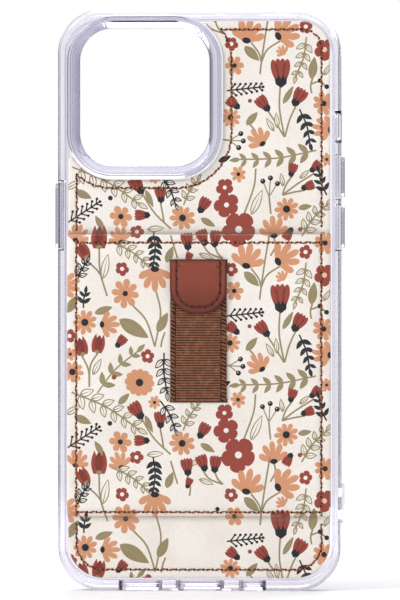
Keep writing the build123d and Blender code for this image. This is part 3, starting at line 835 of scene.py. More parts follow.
# The print from the left edge to the middle of the panel, one repeat of it. Stems come first in
# each cluster, so that heads and leaves lie over them.
left_half = [
    stem((-33, 11.8), (-29.6, 9), (-28, 7)),
    tulip(-33.2, 14.2, 3.6, 5, 28),
    stem((-28.5, 14.7), (-28.2, 8), (-26.2, 1)),
    tulip(-28.5, 18, 4.6, 6.7),
    leaf(-26.7, 9.5, 7.5, 2.4, 78, OLIVE, True),
    sprig(-24.7, 16.4, -15, 10.2, 3.6, 4, OLIVE, True),
    rust_flower(-21.9, 8.8, 2.0),
    sprig(-13, 19.5, -13, 9.7, 3.2, 5, TEAL),
    sprig(-34.8, 5.4, -32, 10.8, 3.0, 3, TEAL, True),
    sprig(-33, -2.4, -32.4, 2, 3, 2, TEAL),
    fan_flower(-37, 4.5, 3.2, -70),
    leaf(-36.2, -1.2, 6, 2.6, 58),
    stem((-18.8, -1.7), (-15, -6), (-12.5, -13.4)),
    stem((-12.3, 3), (-10.9, -4), (-12.5, -13.4)),
    daisy(-21, 1.75, 4.1, 8, middle=0.19),
    fan_flower(-12.5, 6, 3.8, 180),
    leaf(-18.5, -8.3, 10, 4, -32),
    daisy(-32.6, -6.5, 3.5, 9, middle=0.3),
    leaf(-27.2, -3, 5.5, 2.2, 20),
    fan_flower(-25.5, -7.1, 3.0, -90),
    bud(-22.2, -11.9, 3.6, -40),
    stem((-33.7, -15.6), (-31.6, -20), (-31.3, -25)),
    stem((-28.7, -15), (-31, -19), (-31.3, -25)),
    tulip(-33.7, -13.2, 3.8, 5.4, 14),
    tulip(-28.7, -12.5, 3.8, 5.4, -10),
    leaf(-29.1, -19.2, 5.4, 1.9, 62, OLIVE, True),
    rust_flower(-37, -10.4, 2.0),
    stem((-9.6, -9.3), (-10.4, -11.5), (-10.8, -13.6)),
    leaf(-10.3, -6.5, 6.4, 2.7, 62),
    daisy(-36.8, -15.6, 2.0, 6),
    daisy(-36.2, -20.7, 3.2, 9, middle=0.3),
    sprig(-29, -26.7, -17.3, -14.7, 4, 4, OLIVE),
    rust_flower(-14.6, -16.2, 2.0),
    daisy(-16.9, -23.7, 4.1, 12, middle=0.27, notch=0.16),
    leaf(-21.4, -28.4, 4.5, 1.9, 45),
    sprig(-9.9, -15.2, -9, -26.6, 3.8, 4, TEAL, True, -0.04),
    sprig(-36.4, -26.5, -17.3, -37, 4.6, 6, OLIVE, True, 0.05),
    daisy(-12.6, -29.4, 1.9, 7),
    stem((-16.2, -34.2), (-12.8, -39.6), (-8, -44.3)),
    bud(-17.8, -31.6, 5, 35),
    leaf(-14.2, -35.6, 5.5, 1.6, -66),
    stem((-11, -36.8), (-10.4, -40), (-10, -42.6)),
    bud(-11, -34.1, 4.4, 4),
    sprig(-10.9, -29, -6.7, -37.2, 3.4, 3, TEAL, True),
    leaf(-36, -31.6, 5, 2, 30, OLIVE, True),
    leaf(-33.2, -34.4, 5.4, 2.3, -24),
    bush(-37.6, -42.4, -28.4, -36.4, 4.2),
    sprig(-4.4, -37.4, -0.4, -30.4, 3.2, 3, OLIVE, True),
    daisy(-22.4, -40.7, 3.2, 6),
    bud(-16.5, -40.3, 4, 90, TEAL),
    leaf(-12.4, -44.2, 5, 1.9, 6, OLIVE, True),
    daisy(-4.7, -41.1, 3.6, 9, middle=0.28),
    rust_flower(-17.8, -45.1, 2.0),
    fan_flower(-22.8, -46.1, 2.7, 20),
    fan_flower(-34.6, -45.6, 2.8, -20),
    leaf(-28.6, -42.4, 4.6, 1.8, 120),
    disc(-24.2, -22.2, 0.7, RUST),
    disc(-6.2, -27.4, 0.65, RUST),
    disc(-25.4, -35.4, 0.7, TEAL),
]

# The same repeat from the middle to the right edge.
right_half = [
    stem((-8, 18.4), (-7, 15), (-6, 11.8)),
    leaf(-8.3, 12.9, 5, 2.2, 68),
    stem((-3.3, 14.6), (-2.4, 11), (-2.6, 8.4)),
    bud(-3.3, 16.9, 4.5, 8),
    bud(-2.8, 12.2, 2.8, -20),
    stem((1.2, 15.7), (3.2, 13.2), (7, 11.7)),
    stem((4.6, 15.6), (5.4, 13.4), (7, 11.7)),
    bud(1.1, 18, 4.4, 20),
    bud(4.8, 17.7, 4.4, -6),
    leaf(2.2, 12.4, 4.6, 1.6, -20, OLIVE, True),
    stem((15, 9), (17.2, 6), (17.9, 3.5)),
    stem((23.4, 9.6), (19.6, 7), (17.9, 3.5)),
    stem((20.4, 19.4), (19, 11), (17.9, 3.5), (17.5, 0)),
    fan_flower(14.2, 12.4, 3.9, -12),
    fan_flower(25.2, 12.2, 3.9, -62),
    leaf(15.2, 5.9, 6, 2.6, -44),
    rust_flower(30.6, 13.6, 2.0),
    daisy(36.2, 16.2, 3.2, 8),
    fan_flower(23.7, 6.7, 1.6, 40, heart=False),
    sprig(30.8, 10.6, 27.8, -0.6, 3.5, 4, OLIVE, True),
    daisy(36, 7, 3.1, 5, RUST, PALE_PEACH, 0.24, 0.3),
    stem((23.3, -3), (23.1, -10), (24.5, -18)),
    bud(23.4, 0.8, 7.2, 2),
    stem((32.6, -1), (32, -3.4), (32.3, -5.5)),
    stem((32.2, -2.8), (34.4, -2.2), (36.6, -3.6)),
    leaf(32.7, 1.8, 6.5, 2.6, 82),
    disc(36.6, -3.6, 0.7, TEAL),
    disc(34.6, -1.8, 0.6, TEAL),
    leaf(36.7, 1.2, 3.8, 1.5, 60, OLIVE, True),
    rust_flower(9.3, 8.7, 2.0),
    daisy(10.2, 2.5, 2.8, 6),
    bush(8, -4.7, 18.4, -3.6, 3.6),
    bud(9.7, -8.2, 4, 50),
    leaf(25.6, -5.9, 6, 1.7, 60),
    stem((28, -8.6), (26, -13), (24.6, -18)),
    stem((19.4, -10), (21.8, -13.6), (24.5, -18)),
    bud(28.7, -6.4, 5, -32, plump=0.8),
    bud(18.3, -8.3, 4.6, 40),
    leaf(15.2, -12.7, 5, 2.1, 50),
    daisy(35.8, -8.4, 3.3, 8),
    sprig(28.8, -10, 31.8, -20, 3.3, 4, TEAL),
    daisy(9, -12.4, 2.9, 9, middle=0.28),
    stem((16.3, -16.4), (15, -14.8), (13.6, -13.4)),
    fan_flower(16.9, -18.2, 3, 38),
    leaf(20.4, -14.4, 4.6, 1.6, 120, OLIVE, True),
    leaf(22.3, -13.2, 4.6, 1.6, 95, OLIVE, True),
    berries((6, -18.6), (8.8, -18.9), (12, -17), (12.7, -19.1), (11.4, -21)),
    fan_flower(35.4, -15.4, 3, 80),
    sprig(33.6, -21.8, 11.4, -24.4, 4, 6, OLIVE, False, 0.04),
    leaf(7.4, -24.2, 4, 1.7, 25, TEAL),
    daisy(36.6, -24.4, 1.9, 7),
    daisy(11.3, -28.6, 2.3, 7),
    stem((16.3, -27), (15.7, -32.4), (12.7, -40.6)),
    leaf(16.6, -36.6, 8, 2.4, 66, OLIVE, True),
    berries((20.6, -40), (20.1, -35), (18.3, -30.6), (20.5, -29.7), (22.5, -31.3)),
    stem((26.8, -29), (25, -31.6), (23.9, -34.6)),
    stem((33, -28.4), (28.2, -31.4), (23.9, -34.6)),
    stem((30.4, -33.2), (27, -33.8), (23.9, -34.6)),
    bud(26.8, -27.2, 3.6, -16, TEAL),
    bud(33.5, -26.4, 3.6, -46, TEAL),
    bud(31.4, -32, 3.6, -70, TEAL),
    leaf(23.8, -30.2, 4, 1.5, 100, OLIVE, True),
    leaf(30.3, -28.6, 4, 1.4, 40, OLIVE, True),
    daisy(25.1, -38.6, 3.4, 9, middle=0.31),
    leaf(30.4, -38, 4, 1.7, 10),
    sprig(36.6, -34.6, 34.4, -28, 3, 3, TEAL),
    stem((21.2, -45.6), (22, -49), (20.6, -52)),
    fan_flower(21.3, -43.8, 3.4, 6),
    sprig(29.5, -46.4, 36.6, -37.4, 3.8, 4, OLIVE, True),
    bud(25.6, -45.8, 3.6, 150, TEAL),
    daisy(11.4, -44.4, 5.0, 5, RUST, CREAM, 0.2, 0.26),
    daisy(7.9, -37.4, 3.6, 5, RUST, CREAM, 0.2, 0.26, 20),
    daisy(7.4, -32.4, 2.6, 5, RUST, CREAM, 0.22, 0.28, 50),
    bud(1.4, -37.3, 4.4, -30),
    leaf(2.6, -42.4, 4.8, 1.9, -30),
    leaf(-1.2, -46.6, 4.2, 1.6, 20, OLIVE, True),
    disc(5.4, 4.6, 0.65, TEAL),
    disc(14.6, -7.6, 0.6, RUST),
    disc(29, -44.4, 0.65, RUST),
]
one_repeat = [part for drawing in left_half + right_half for part in drawing]
printed = [(shape + (0, shift), ink) for shift in (REPEAT, 0, -REPEAT) for shape, ink in one_repeat]

# The strap covers this stretch, and shows it when it is lifted. It isn't repeated.
under_strap = [
    sprig(-1.2, -27, -4.2, -15.5, 3.4, 4, TEAL, True),
    stem((3.8, -25), (3.2, -19), (1.4, -14.5)),
    leaf(3.6, -22.5, 5, 2.2, 70),
    daisy(1.2, -12, 3.4, 8),
    rust_flower(-4.3, -9.3, 1.9),
    stem((-3.6, -6.4), (-2.2, -1.5), (-2.8, 2.5)),
    leaf(-3.1, -4.6, 4.4, 2, 60),
    bud(-3, 4.6, 5, 6),
    stem((3.4, -1), (3, -4), (4.2, -7.2)),
    fan_flower(3.4, 0.8, 2.6, -12),
    rust_flower(3.2, 8.1, 1.9),
    disc(5, -17.4, 0.65, RUST),
]
printed += [part for drawing in under_strap for part in drawing]


def print_between(low, high):
    """The part of the print that touches a stretch of Z."""
    return [(s, ink) for s, ink in printed if s[:, 1].max() > low and s[:, 1].min() < high]


def painted_hole_shade(holes, radius=0.36):
    """A dark dot of painted shade at every needle hole, laid into the print's colour."""
    return [dot for x, z in holes for dot in disc(x, z, radius, HOLE_SHADE, 7, 1.15)]


def leather_effect():
    """Coated leather. Its height is pebbles, which are cells whose walls are creases, over a
    slow swell, with fine pores. Its shade says how deep a crease is, and its wear is most near
    the cut edge, broken by noise."""
    inputs = {"Pebbles": 1500.0, "Pores": 9000.0, "Swell": 160.0, "Rim": 0.6}
    outputs = {"Height": "Float", "Crease": "Float", "Wear": "Float", "Mottle": "Float"}
    tree, given, out = effect("coated_leather", inputs, outputs)
    where = object_place(tree)
    warp = add(tree, "TexNoise", {"Vector": where, "Scale": 700.0, "Detail": 2.0}).outputs["Color"]
    shift = add(tree, "VectorMath", {0: warp}, operation="SCALE")
    shift.inputs["Scale"].default_value = 0.0005
    bent = add(tree, "VectorMath", {0: where, 1: shift.outputs["Vector"]}).outputs["Vector"]
    inputs = {"Vector": bent, "Scale": given["Pebbles"]}
    cells = add(tree, "TexVoronoi", inputs, feature="DISTANCE_TO_EDGE").outputs["Distance"]
    pebble = ramp(tree, cells, 0.0, 0.28)
    pores = ramp(tree, noise(tree, where, given["Pores"], 2.0), 0.3, 0.45)
    swell = noise(tree, where, given["Swell"], 3.0)
    grain = sums(tree, "ADD", times(tree, pebble, 0.45), times(tree, swell, 0.5))
    height = sums(tree, "ADD", grain, times(tree, pores, 0.12))
    rim = read(tree, "from_rim")
    near = sums(tree, "SUBTRACT", 1.0, ramp(tree, rim, 0.0, given["Rim"]))
    worn = times(tree, near, ramp(tree, noise(tree, where, 420.0, 4.0), 0.35, 0.65))
    feed(tree, out, {"Height": height, "Crease": sums(tree, "SUBTRACT", 1.0, pebble)})
    feed(tree, out, {"Wear": worn, "Mottle": noise(tree, where, 60.0, 5.0, 0.6)})
    return tree


coated_leather = leather_effect()


def printed_leather():
    """The print's colour, with painted shade in the creases, mottled slowly, rubbed paler at the
    cut edge, and darkened by painted shade in a narrow band beside the pocket's mouth and foot;
    satin where the coat is whole and duller where it is worn."""
    material, tree, shader = finish(
        "printed_leather", Specular_IOR_Level=0.26, Coat_IOR=1.45, Coat_Roughness=0.45
    )
    ink = read(tree, "print_colour", "Color")
    hide = placed(tree, coated_leather, Pebbles=1500.0, Rim=0.5)
    # Painted shade: the colour is darkened a little in the creases of the grain.
    creased = mix(tree, times(tree, hide["Crease"], 0.1), ink, tone(*CREASE_SHADE))
    slow = ramp(tree, hide["Mottle"], 0.3, 0.7)
    shade = mix(tree, slow, tone(247, 245, 243), tone(255, 255, 255))
    mottled = mix(tree, 1.0, creased, shade, "MULTIPLY")
    rubbed = mix(tree, times(tree, hide["Wear"], 0.35), mottled, tone(*RUBBED))
    # Painted shade: a narrow darker band beside the pocket's mouth and foot, placed by height on the
    # piece.
    tall = axes(tree, object_place(tree))["Z"]
    above, under = (
        times(tree, ramp(tree, tall, first, peak), ramp(tree, tall, last, peak))
        for first, peak, last in (MOUTH_SHADE_BAND, FOOT_SHADE_BAND)
    )
    mouth_and_foot_shade = times(tree, sums(tree, "MAXIMUM", above, under), 0.3)
    # From here the colour also holds that painted shade beside the pocket, as well as the wear at the
    # rim.
    rubbed = mix(tree, mouth_and_foot_shade, rubbed, tone(*POCKET_EDGE_SHADE))
    rough = ramp(tree, hide["Height"], 0.2, 0.9, 0.5, 0.62)
    gloss = ramp(tree, hide["Wear"], 0.0, 1.0, 0.06, 0.0)
    feed(tree, shader, {"Base Color": rubbed, "Roughness": rough, "Coat Weight": gloss})
    feed(tree, shader, {"Normal": bump(tree, hide["Height"], 0.22, 0.00012)})
    return material


def base_face(places):
    """The base leather's height: flat, rolled at its rim and pulled in along its seams."""
    fall = rolled(distance(places, base_marks)) + pressed(distance(places, base_seams))
    sunk = 0.2 * np.exp(-((distance(places, base_holes) / 0.3) ** 2))
    return BASE_FACE - fall - sunk


STITCH_PITCH = 2.65
base_runs = ("upper_edge_stitching", "camera_edge_stitching", "lower_edge_stitching")
stitches = {name: stitch_places(name) for name in base_runs}
base_loops = face_loops("base_leather", BASE_FACE)[:1]
base_marks = divided(base_loops[0], 0.2)
base_seams = np.concatenate([seam_line(stitches[name], STITCH_PITCH) for name in base_runs])
base_holes = needle_holes([np.concatenate(part) for part in zip(*stitches.values())], STITCH_PITCH)
base_leather = leather_piece(
    "base_leather_printed",
    base_loops,
    base_face,
    lambda places: np.full(len(places), BASE_BACK),
    print_between(*ABOVE_POCKET) + print_between(*BELOW_POCKET) + painted_hole_shade(base_holes),
)
cream_leather = printed_leather()
base_leather.data.materials.append(cream_leather)
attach(base_leather, "case")
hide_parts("base_leather")


# ------------------------------------------------------------------ camera and edge stitching
# Orange-brown waxed thread sews the panel's edge to its board: short slanted stitches of two
# twisted plies, each pulled into the groove and going down a needle hole at both ends.
THREAD_RADIUS = 0.27
# The pale is the fibres' colour and the painted highlight on the ply crowns; the deep is the thread's
# colour and painted shade between the plies.
THREAD_PALE_AND_HIGHLIGHT = (166, 88, 44)
THREAD_DEEP_AND_SHADE = (56, 26, 12)
STITCH_REACH = 2.3


def thread_stitches(name, places, face, length, radius):
    """Every stitch of a run in one mesh. Along a stitch, t runs from -1 to 1: its middle stands
    highest, as 1 - t squared, it swings sideways as a sine, and it thins towards its ends. Round
    it, the radius has two lobes, for two plies, that turn as t grows."""
    centre, heading = places
    sides, rings = 8, 8
    t = np.linspace(-1, 1, rings)[:, None]
    angle = np.arange(sides)[None, :] * 2 * np.pi / sides
    slim = radius * (1 - np.abs(t) ** 3 * 0.55)
    lobes = slim * (1 + 0.2 * np.cos(2 * (angle - 2.4 * t)))
    along = t * length / 2 + 0 * angle
    aside = lobes * np.cos(angle) + 0.07 * np.sin(np.pi * t) + 0.08 * t
    above = lobes * np.sin(angle) * 0.9 + 0.5 * radius * (1 - t**2) - 0.16 * t**4
    shape = np.stack([along, aside, above], axis=-1).reshape(-1, 3)
    tips = np.array([[-length / 2 - 0.04, -0.08, -0.2], [length / 2 + 0.04, 0.08, -0.2]])
    shape = np.concatenate([shape, tips])
    jitter = np.random.default_rng(len(centre)).normal(0, 1, (len(centre), 2))
    lean = 0.05 * jitter[:, 0]
    square = np.stack([-heading[:, 1], heading[:, 0]], axis=1)
    run = heading * np.cos(lean)[:, None] + square * np.sin(lean)[:, None]
    flat = centre[:, None] + run[:, None] * shape[None, :, :1]
    flat = flat + np.stack([-run[:, 1], run[:, 0]], axis=1)[:, None] * shape[None, :, 1:2]
    lift = face(centre)[:, None] + shape[None, :, 2] * (1 + 0.06 * jitter[:, 1:])
    points = np.concatenate([flat, lift[..., None]], axis=2).reshape(-1, 3)
    k, j = np.meshgrid(np.arange(rings - 1), np.arange(sides), indexing="ij")
    a, b = k * sides + j, k * sides + (j + 1) % sides
    c, d = a + sides, b + sides
    body = np.stack([np.stack([a, b, d], -1), np.stack([a, d, c], -1)], axis=2).reshape(-1, 3)
    ends = np.arange(sides)
    foot = np.stack([np.full(sides, rings * sides), (ends + 1) % sides, ends], axis=1)
    top = (rings - 1) * sides
    tip = np.full(sides, rings * sides + 1)
    head = np.stack([tip, top + ends, top + (ends + 1) % sides], axis=1)
    one = np.concatenate([body, foot, head])
    every = (one[None] + (np.arange(len(centre)) * len(shape))[:, None, None]).reshape(-1, 3)
    piece = mesh_of(name, points, every, 1.4)
    twist = np.zeros(len(shape))
    twist[: rings * sides] = (angle / (2 * np.pi) * 2 - 2.4 * t / np.pi + 0 * angle).ravel()
    turns = np.stack([np.tile(shape[:, 0], len(centre)), np.tile(twist, len(centre))], axis=1)
    shade = np.repeat(jitter[:, 0], len(shape))[:, None]
    mark(piece, "twist", "FLOAT_VECTOR", np.concatenate([turns, shade], axis=1))
    return piece


def thread_effect():
    """Twisted thread: plies are bands that lean across the thread, with a line of painted shade
    between them, and fibres are fine noise along it. The first number of the twist attribute is
    the place along a stitch in mm, and the third tells one stitch from the next."""
    outputs = {"Ply": "Float", "Fibre": "Float", "Stitch": "Float"}
    tree, given, out = effect("twisted_thread", {"Plies": 2.6}, outputs)
    twist = read(tree, "twist", "Vector")
    parts = axes(tree, twist)
    where = axes(tree, object_place(tree))
    lean = times(tree, sums(tree, "ADD", where["X"], where["Z"]), 2200.0)
    turn = times(tree, parts["X"], given["Plies"])
    wave = sums(tree, "SINE", sums(tree, "ADD", lean, turn))
    fibre = noise(tree, object_place(tree), 7000.0, 2.0)
    feed(tree, out, {"Ply": ramp(tree, wave, -1.0, 0.2), "Fibre": fibre})
    feed(tree, out, {"Stitch": ramp(tree, parts["Z"], -2.0, 2.0)})
    return tree


twisted_thread = thread_effect()


def thread_finish(name, pale, deep):
    """Waxed thread: a painted highlight on the crown of each ply and painted shade between them,
    with its own tone for each stitch, a soft gloss, and a little sheen from loose fibres."""
    material, tree, shader = finish(name, Specular_IOR_Level=0.25, Sheen_Weight=0.08)
    twist = placed(tree, twisted_thread)
    # Painted highlight on the ply crowns and painted shade between the plies.
    ply = mix(tree, twist["Ply"], tone(*deep), tone(*pale))
    shaded = mix(tree, times(tree, twist["Stitch"], 0.3), ply, tone(*deep))
    fibred = mix(tree, ramp(tree, twist["Fibre"], 0.5, 0.75, 0.0, 0.4), shaded, tone(*pale))
    rough = ramp(tree, twist["Fibre"], 0.3, 0.7, 0.5, 0.75)
    high = sums(tree, "ADD", twist["Ply"], times(tree, twist["Fibre"], 0.4))
    feed(tree, shader, {"Base Color": fibred, "Roughness": rough})
    feed(tree, shader, {"Normal": bump(tree, high, 0.5, 0.0001)})
    return material


edge_thread = thread_finish("edge_thread", THREAD_PALE_AND_HIGHLIGHT, THREAD_DEEP_AND_SHADE)


def sew(name, node, places, face, body="case"):
    """A run of stitches in place of its packed bars, in the edge's thread."""
    run = thread_stitches(name, places, face, STITCH_REACH, THREAD_RADIUS)
    run.data.materials.append(edge_thread)
    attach(run, body)
    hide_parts(node)


for run_name in base_runs:
    sew(run_name.replace("_edge", "_edge_thread"), run_name, stitches[run_name], base_face)


# ------------------------------------------------------------------ pocket lining
# Plain woven lining faces the cards. It is glued behind the stiffener and hidden but for its top
# edge, in two browns, with a thread every half millimetre.
LINING_WARP = (168, 146, 120)
LINING_WEFT = (140, 116, 92)


def lining_fabric():
    """Plain weave: warp where the sine of X times the sine of Z is above nothing, weft elsewhere,
    half a millimetre to a thread, and each thread is round across its width."""
    material, tree, shader = finish("pocket_lining_fabric", Roughness=0.92, Sheen_Weight=0.2)
    spot = axes(tree, object_place(tree))
    one = sums(tree, "SINE", times(tree, spot["X"], 6283.0))
    two = sums(tree, "SINE", times(tree, spot["Z"], 6283.0))
    over = ramp(tree, times(tree, one, two), -0.1, 0.1)
    high = sums(tree, "MAXIMUM", sums(tree, "ABSOLUTE", one), sums(tree, "ABSOLUTE", two))
    colour = mix(tree, over, tone(*LINING_WARP), tone(*LINING_WEFT))
    feed(tree, shader, {"Base Color": colour, "Normal": bump(tree, high, 0.6, 0.00015)})
    return material


wear(["pocket_lining"], lining_fabric())


# ------------------------------------------------------------------ pocket front
# The card pocket is the same leather, printed in one go with the panel, so its flowers run on
# across the pocket's edges. Its mouth is folded over a hem; its sides and foot are sewn down, so
# its face slopes to them, and two slots let the strap through.
POCKET_FACE = 4.65
POCKET_UNDER = 3.98
POCKET_FOOT = 2.57
MOUTH = 18.7
POCKET_END = -62.0
POCKET_INSIDE = 34.65
POCKET_INSIDE_END = -58.9
FOOT_DROP = 1.25
FOOT_SLOPE = 3.6
SIDE_DROP = 0.45
SIDE_SLOPE = 6.5
HEM = 4.4  # the fold's depth from the mouth


def pocket_face(places):
    """The pocket front's height: full in the middle, sloping down to its sewn sides and its foot,
    sunk below the hem at its mouth, pulled in at the seams, and rolled at its rim."""
    x, z = places[:, 0], places[:, 1]
    beside = np.clip((pocket_half - np.abs(x)) / SIDE_SLOPE, 0, 1)
    below = np.clip((z - POCKET_END) / FOOT_SLOPE, 0, 1)
    slope = SIDE_DROP * (1 - beside**2 * (3 - 2 * beside)) + FOOT_DROP * (1 - below) ** 2
    rim = rolled(distance(places, pocket_marks), 1.1, 0.5)
    seams = pressed(distance(places, pocket_seams), 0.24)
    sunk = 0.2 * np.exp(-((distance(places, pocket_holes) / 0.3) ** 2))
    hem = 0.12 * np.exp(-(((z - MOUTH + HEM) / 0.8) ** 2))
    return np.maximum(POCKET_FACE - slope - rim - seams - sunk - hem, POCKET_FOOT + 0.1)


def pocket_back(places):
    """The height of the pocket front's back: over the cards inside the margins, and down on the
    panel at the sides and the foot, with a steep step a fifth of a millimetre wide."""
    x, z = places[:, 0], places[:, 1]
    inside = np.minimum(POCKET_INSIDE - np.abs(x), z - POCKET_INSIDE_END)
    return POCKET_FOOT + (POCKET_UNDER - POCKET_FOOT) * np.clip(inside / 0.2 + 1, 0, 1)


def pocket_step(out):
    """A line along the step in the back, open at the mouth, moved out by a distance."""
    x, z = POCKET_INSIDE + out, POCKET_INSIDE_END - out
    return np.array([(-x, MOUTH - 0.05), (-x, z), (x, z), (x, MOUTH - 0.05)])


pocket_runs = ("pocket_edge_stitching", "pocket_mouth_stitching", "pocket_bottom_stitching")
stitches.update({name: stitch_places(name) for name in pocket_runs})
pocket_loops = face_loops("pocket_front_leather", POCKET_FACE)
pocket_half = pocket_loops[0][:, 0].max()
pocket_marks = divided(pocket_loops[0], 0.2)
pocket_seams = np.concatenate([seam_line(stitches[name], STITCH_PITCH) for name in pocket_runs])
pocket_sewn = [np.concatenate(part) for part in zip(*(stitches[name] for name in pocket_runs))]
pocket_holes = needle_holes(pocket_sewn, STITCH_PITCH)
pocket_front = leather_piece(
    "pocket_front_printed",
    pocket_loops,
    pocket_face,
    pocket_back,
    print_between(POCKET_END, MOUTH) + painted_hole_shade(pocket_holes),
    [pocket_step(0.0), pocket_step(0.2)],
)
pocket_front.data.materials.append(cream_leather)
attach(pocket_front, "case")
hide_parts("pocket_front_leather")

for run_name in pocket_runs:
    name = run_name.replace("stitching", "thread_stitching")
    sew(name, run_name, stitches[run_name], pocket_face)


# ------------------------------------------------------------------ strap webbing
# One length of brown elastic, woven with fine cross ribs and a braided cord down each edge. Its
# middle lifts when a finger goes in, its two ends stretch after it, and both go down through
# slots in the pocket front to tails that are sewn flat inside.
STRAP_HALF = 8.15
STRAP_UNDER = 4.75
STRAP_THICK = 0.9
STRAP_TOP = 11.4
CROWN_TOP = -4.0
CROWN_FOOT = -13.0
STRAP_FOOT = -29.3
RIB_PITCH = 0.72
# The pale is the fibres' colour and the painted highlight on crowns; the dark is painted shade
# between ribs and plaits and beside the bands.
WEB_PALE_AND_HIGHLIGHT = (204, 150, 116)
WEB_BROWN = (94, 51, 35)
WEB_GROOVE_SHADE = (36, 15, 9)
WEB_BAND = (98, 54, 38)
LEFT_BAND = 1.55
RIGHT_BAND = 1.7


def webbing_section(count=46, edge=6):
    """A closed section of the webbing, from its left to its right edge over the top and back
    underneath: flat, with its short sides rounded as half ellipses. Returns across and up."""
    t = np.linspace(-np.pi / 2, np.pi / 2, edge + 1)
    half = STRAP_THICK / 2
    side = STRAP_HALF - 0.45 + 0.45 * np.cos(t)
    top = np.linspace(-STRAP_HALF + 0.45, STRAP_HALF - 0.45, count)[1:-1]
    under = np.linspace(STRAP_HALF - 0.45, -STRAP_HALF + 0.45, 10)[1:-1]
    across = np.concatenate([-side, top, side[::-1], under])
    rise = half * np.sin(t)
    return across, np.concatenate([rise, top * 0 + half, rise[::-1], under * 0 - half])


def webbing_relief(across, along):
    """How far the weave stands below the strap's full thickness: half-round cross ribs between
    the edge bands, plaited lumps on the bands, and a deep line beside each band."""
    rib = 0.16 * (1 - np.abs(np.sin(np.pi * along / RIB_PITCH)) ** 0.8)
    left = across + STRAP_HALF
    right = STRAP_HALF - across
    band = np.where(left < LEFT_BAND, left / LEFT_BAND, right / RIGHT_BAND)
    plait = 0.1 * (1 - np.abs(np.sin(np.pi * (along / 1.1 + 0.9 * np.abs(band - 0.5)))))
    in_band = (left < LEFT_BAND) | (right < RIGHT_BAND)
    valley = np.exp(-(((left - LEFT_BAND) / 0.16) ** 2))
    valley = valley + np.exp(-(((right - RIGHT_BAND) / 0.16) ** 2))
    split = np.exp(-(((right - RIGHT_BAND / 2) / 0.12) ** 2))
    return np.where(in_band, plait, rib) + 0.16 * valley + 0.08 * split


def webbing_piece(name, top, foot, turn=0):
    """The section carried along the strap from one Z to another. A turn of 1 or -1 adds a quarter
    circle and a short straight run, down through the slot at the top or the foot. The section
    stands square to the way it goes, and its weave is sunk by the relief."""
    across, up = webbing_section()
    straight_top = top - 1.05 if turn > 0 else top
    straight_foot = foot + 1.05 if turn < 0 else foot
    rows = int(round((straight_top - straight_foot) / 0.09))
    z = np.linspace(straight_top, straight_foot, rows + 1)
    middle = STRAP_UNDER + STRAP_THICK / 2
    way = np.stack([z, np.full(len(z), middle), np.zeros(len(z)), np.ones(len(z))], axis=1)
    bend = np.linspace(0, np.pi / 2, 9)[1:]
    radius = 0.6
    s, c = np.sin(bend), np.cos(bend)
    curve = np.stack([radius * s, radius * (c - 1), s, c], axis=1)
    drop = np.array([[radius, -radius - 0.35, 1, 0], [radius, -radius - 0.6, 1, 0]])
    curve = np.concatenate([curve, drop])
    if turn > 0:
        fold = curve + (straight_top, middle, 0, 0)
        way = np.concatenate([fold[::-1], way])
    if turn < 0:
        fold = curve * (-1, 1, -1, 1) + (straight_foot, middle, 0, 0)
        way = np.concatenate([way, fold])
    run = np.concatenate([[0], np.cumsum(np.hypot(*np.diff(way[:, :2], axis=0).T))])
    along = STRAP_TOP - top + run
    s, a = np.meshgrid(np.arange(len(way)), np.arange(len(across)), indexing="ij")
    show = np.clip(up[a] / (STRAP_THICK / 2), -1, 1)
    sunk = webbing_relief(across[a], along[s]) * np.clip(np.abs(show) * 1.6, 0, 1) * np.sign(show)
    lift = up[a] - sunk
    points = np.stack(
        [
            across[a] - 0.06 * np.sign(across[a]) * (np.abs(show) < 0.9),
            way[s, 0] + way[s, 2] * lift,
            way[s, 1] + way[s, 3] * lift,
        ],
        axis=-1,
    ).reshape(-1, 3)
    wide, tall = len(across), len(way)
    r, c = np.meshgrid(np.arange(tall - 1), np.arange(wide), indexing="ij")
    p, q = r * wide + c, r * wide + (c + 1) % wide
    t1, t2 = np.stack([p, p + wide, q + wide], -1), np.stack([p, q + wide, q], -1)
    ends = []
    for row, flip in ((0, 1), (tall - 1, -1)):
        ring = row * wide + np.arange(1, wide - 1)
        fan = np.stack([np.full(wide - 2, row * wide), ring, ring + 1], axis=1)
        ends.append(fan[:, ::flip])
    triangles = np.concatenate([t1.reshape(-1, 3), t2.reshape(-1, 3)] + ends)
    piece = mesh_of(name, points, triangles, 1.3)
    weave = np.stack([across[a].ravel(), along[s].ravel(), show.ravel()], axis=1)
    mark(piece, "weave", "FLOAT_VECTOR", weave)
    return piece


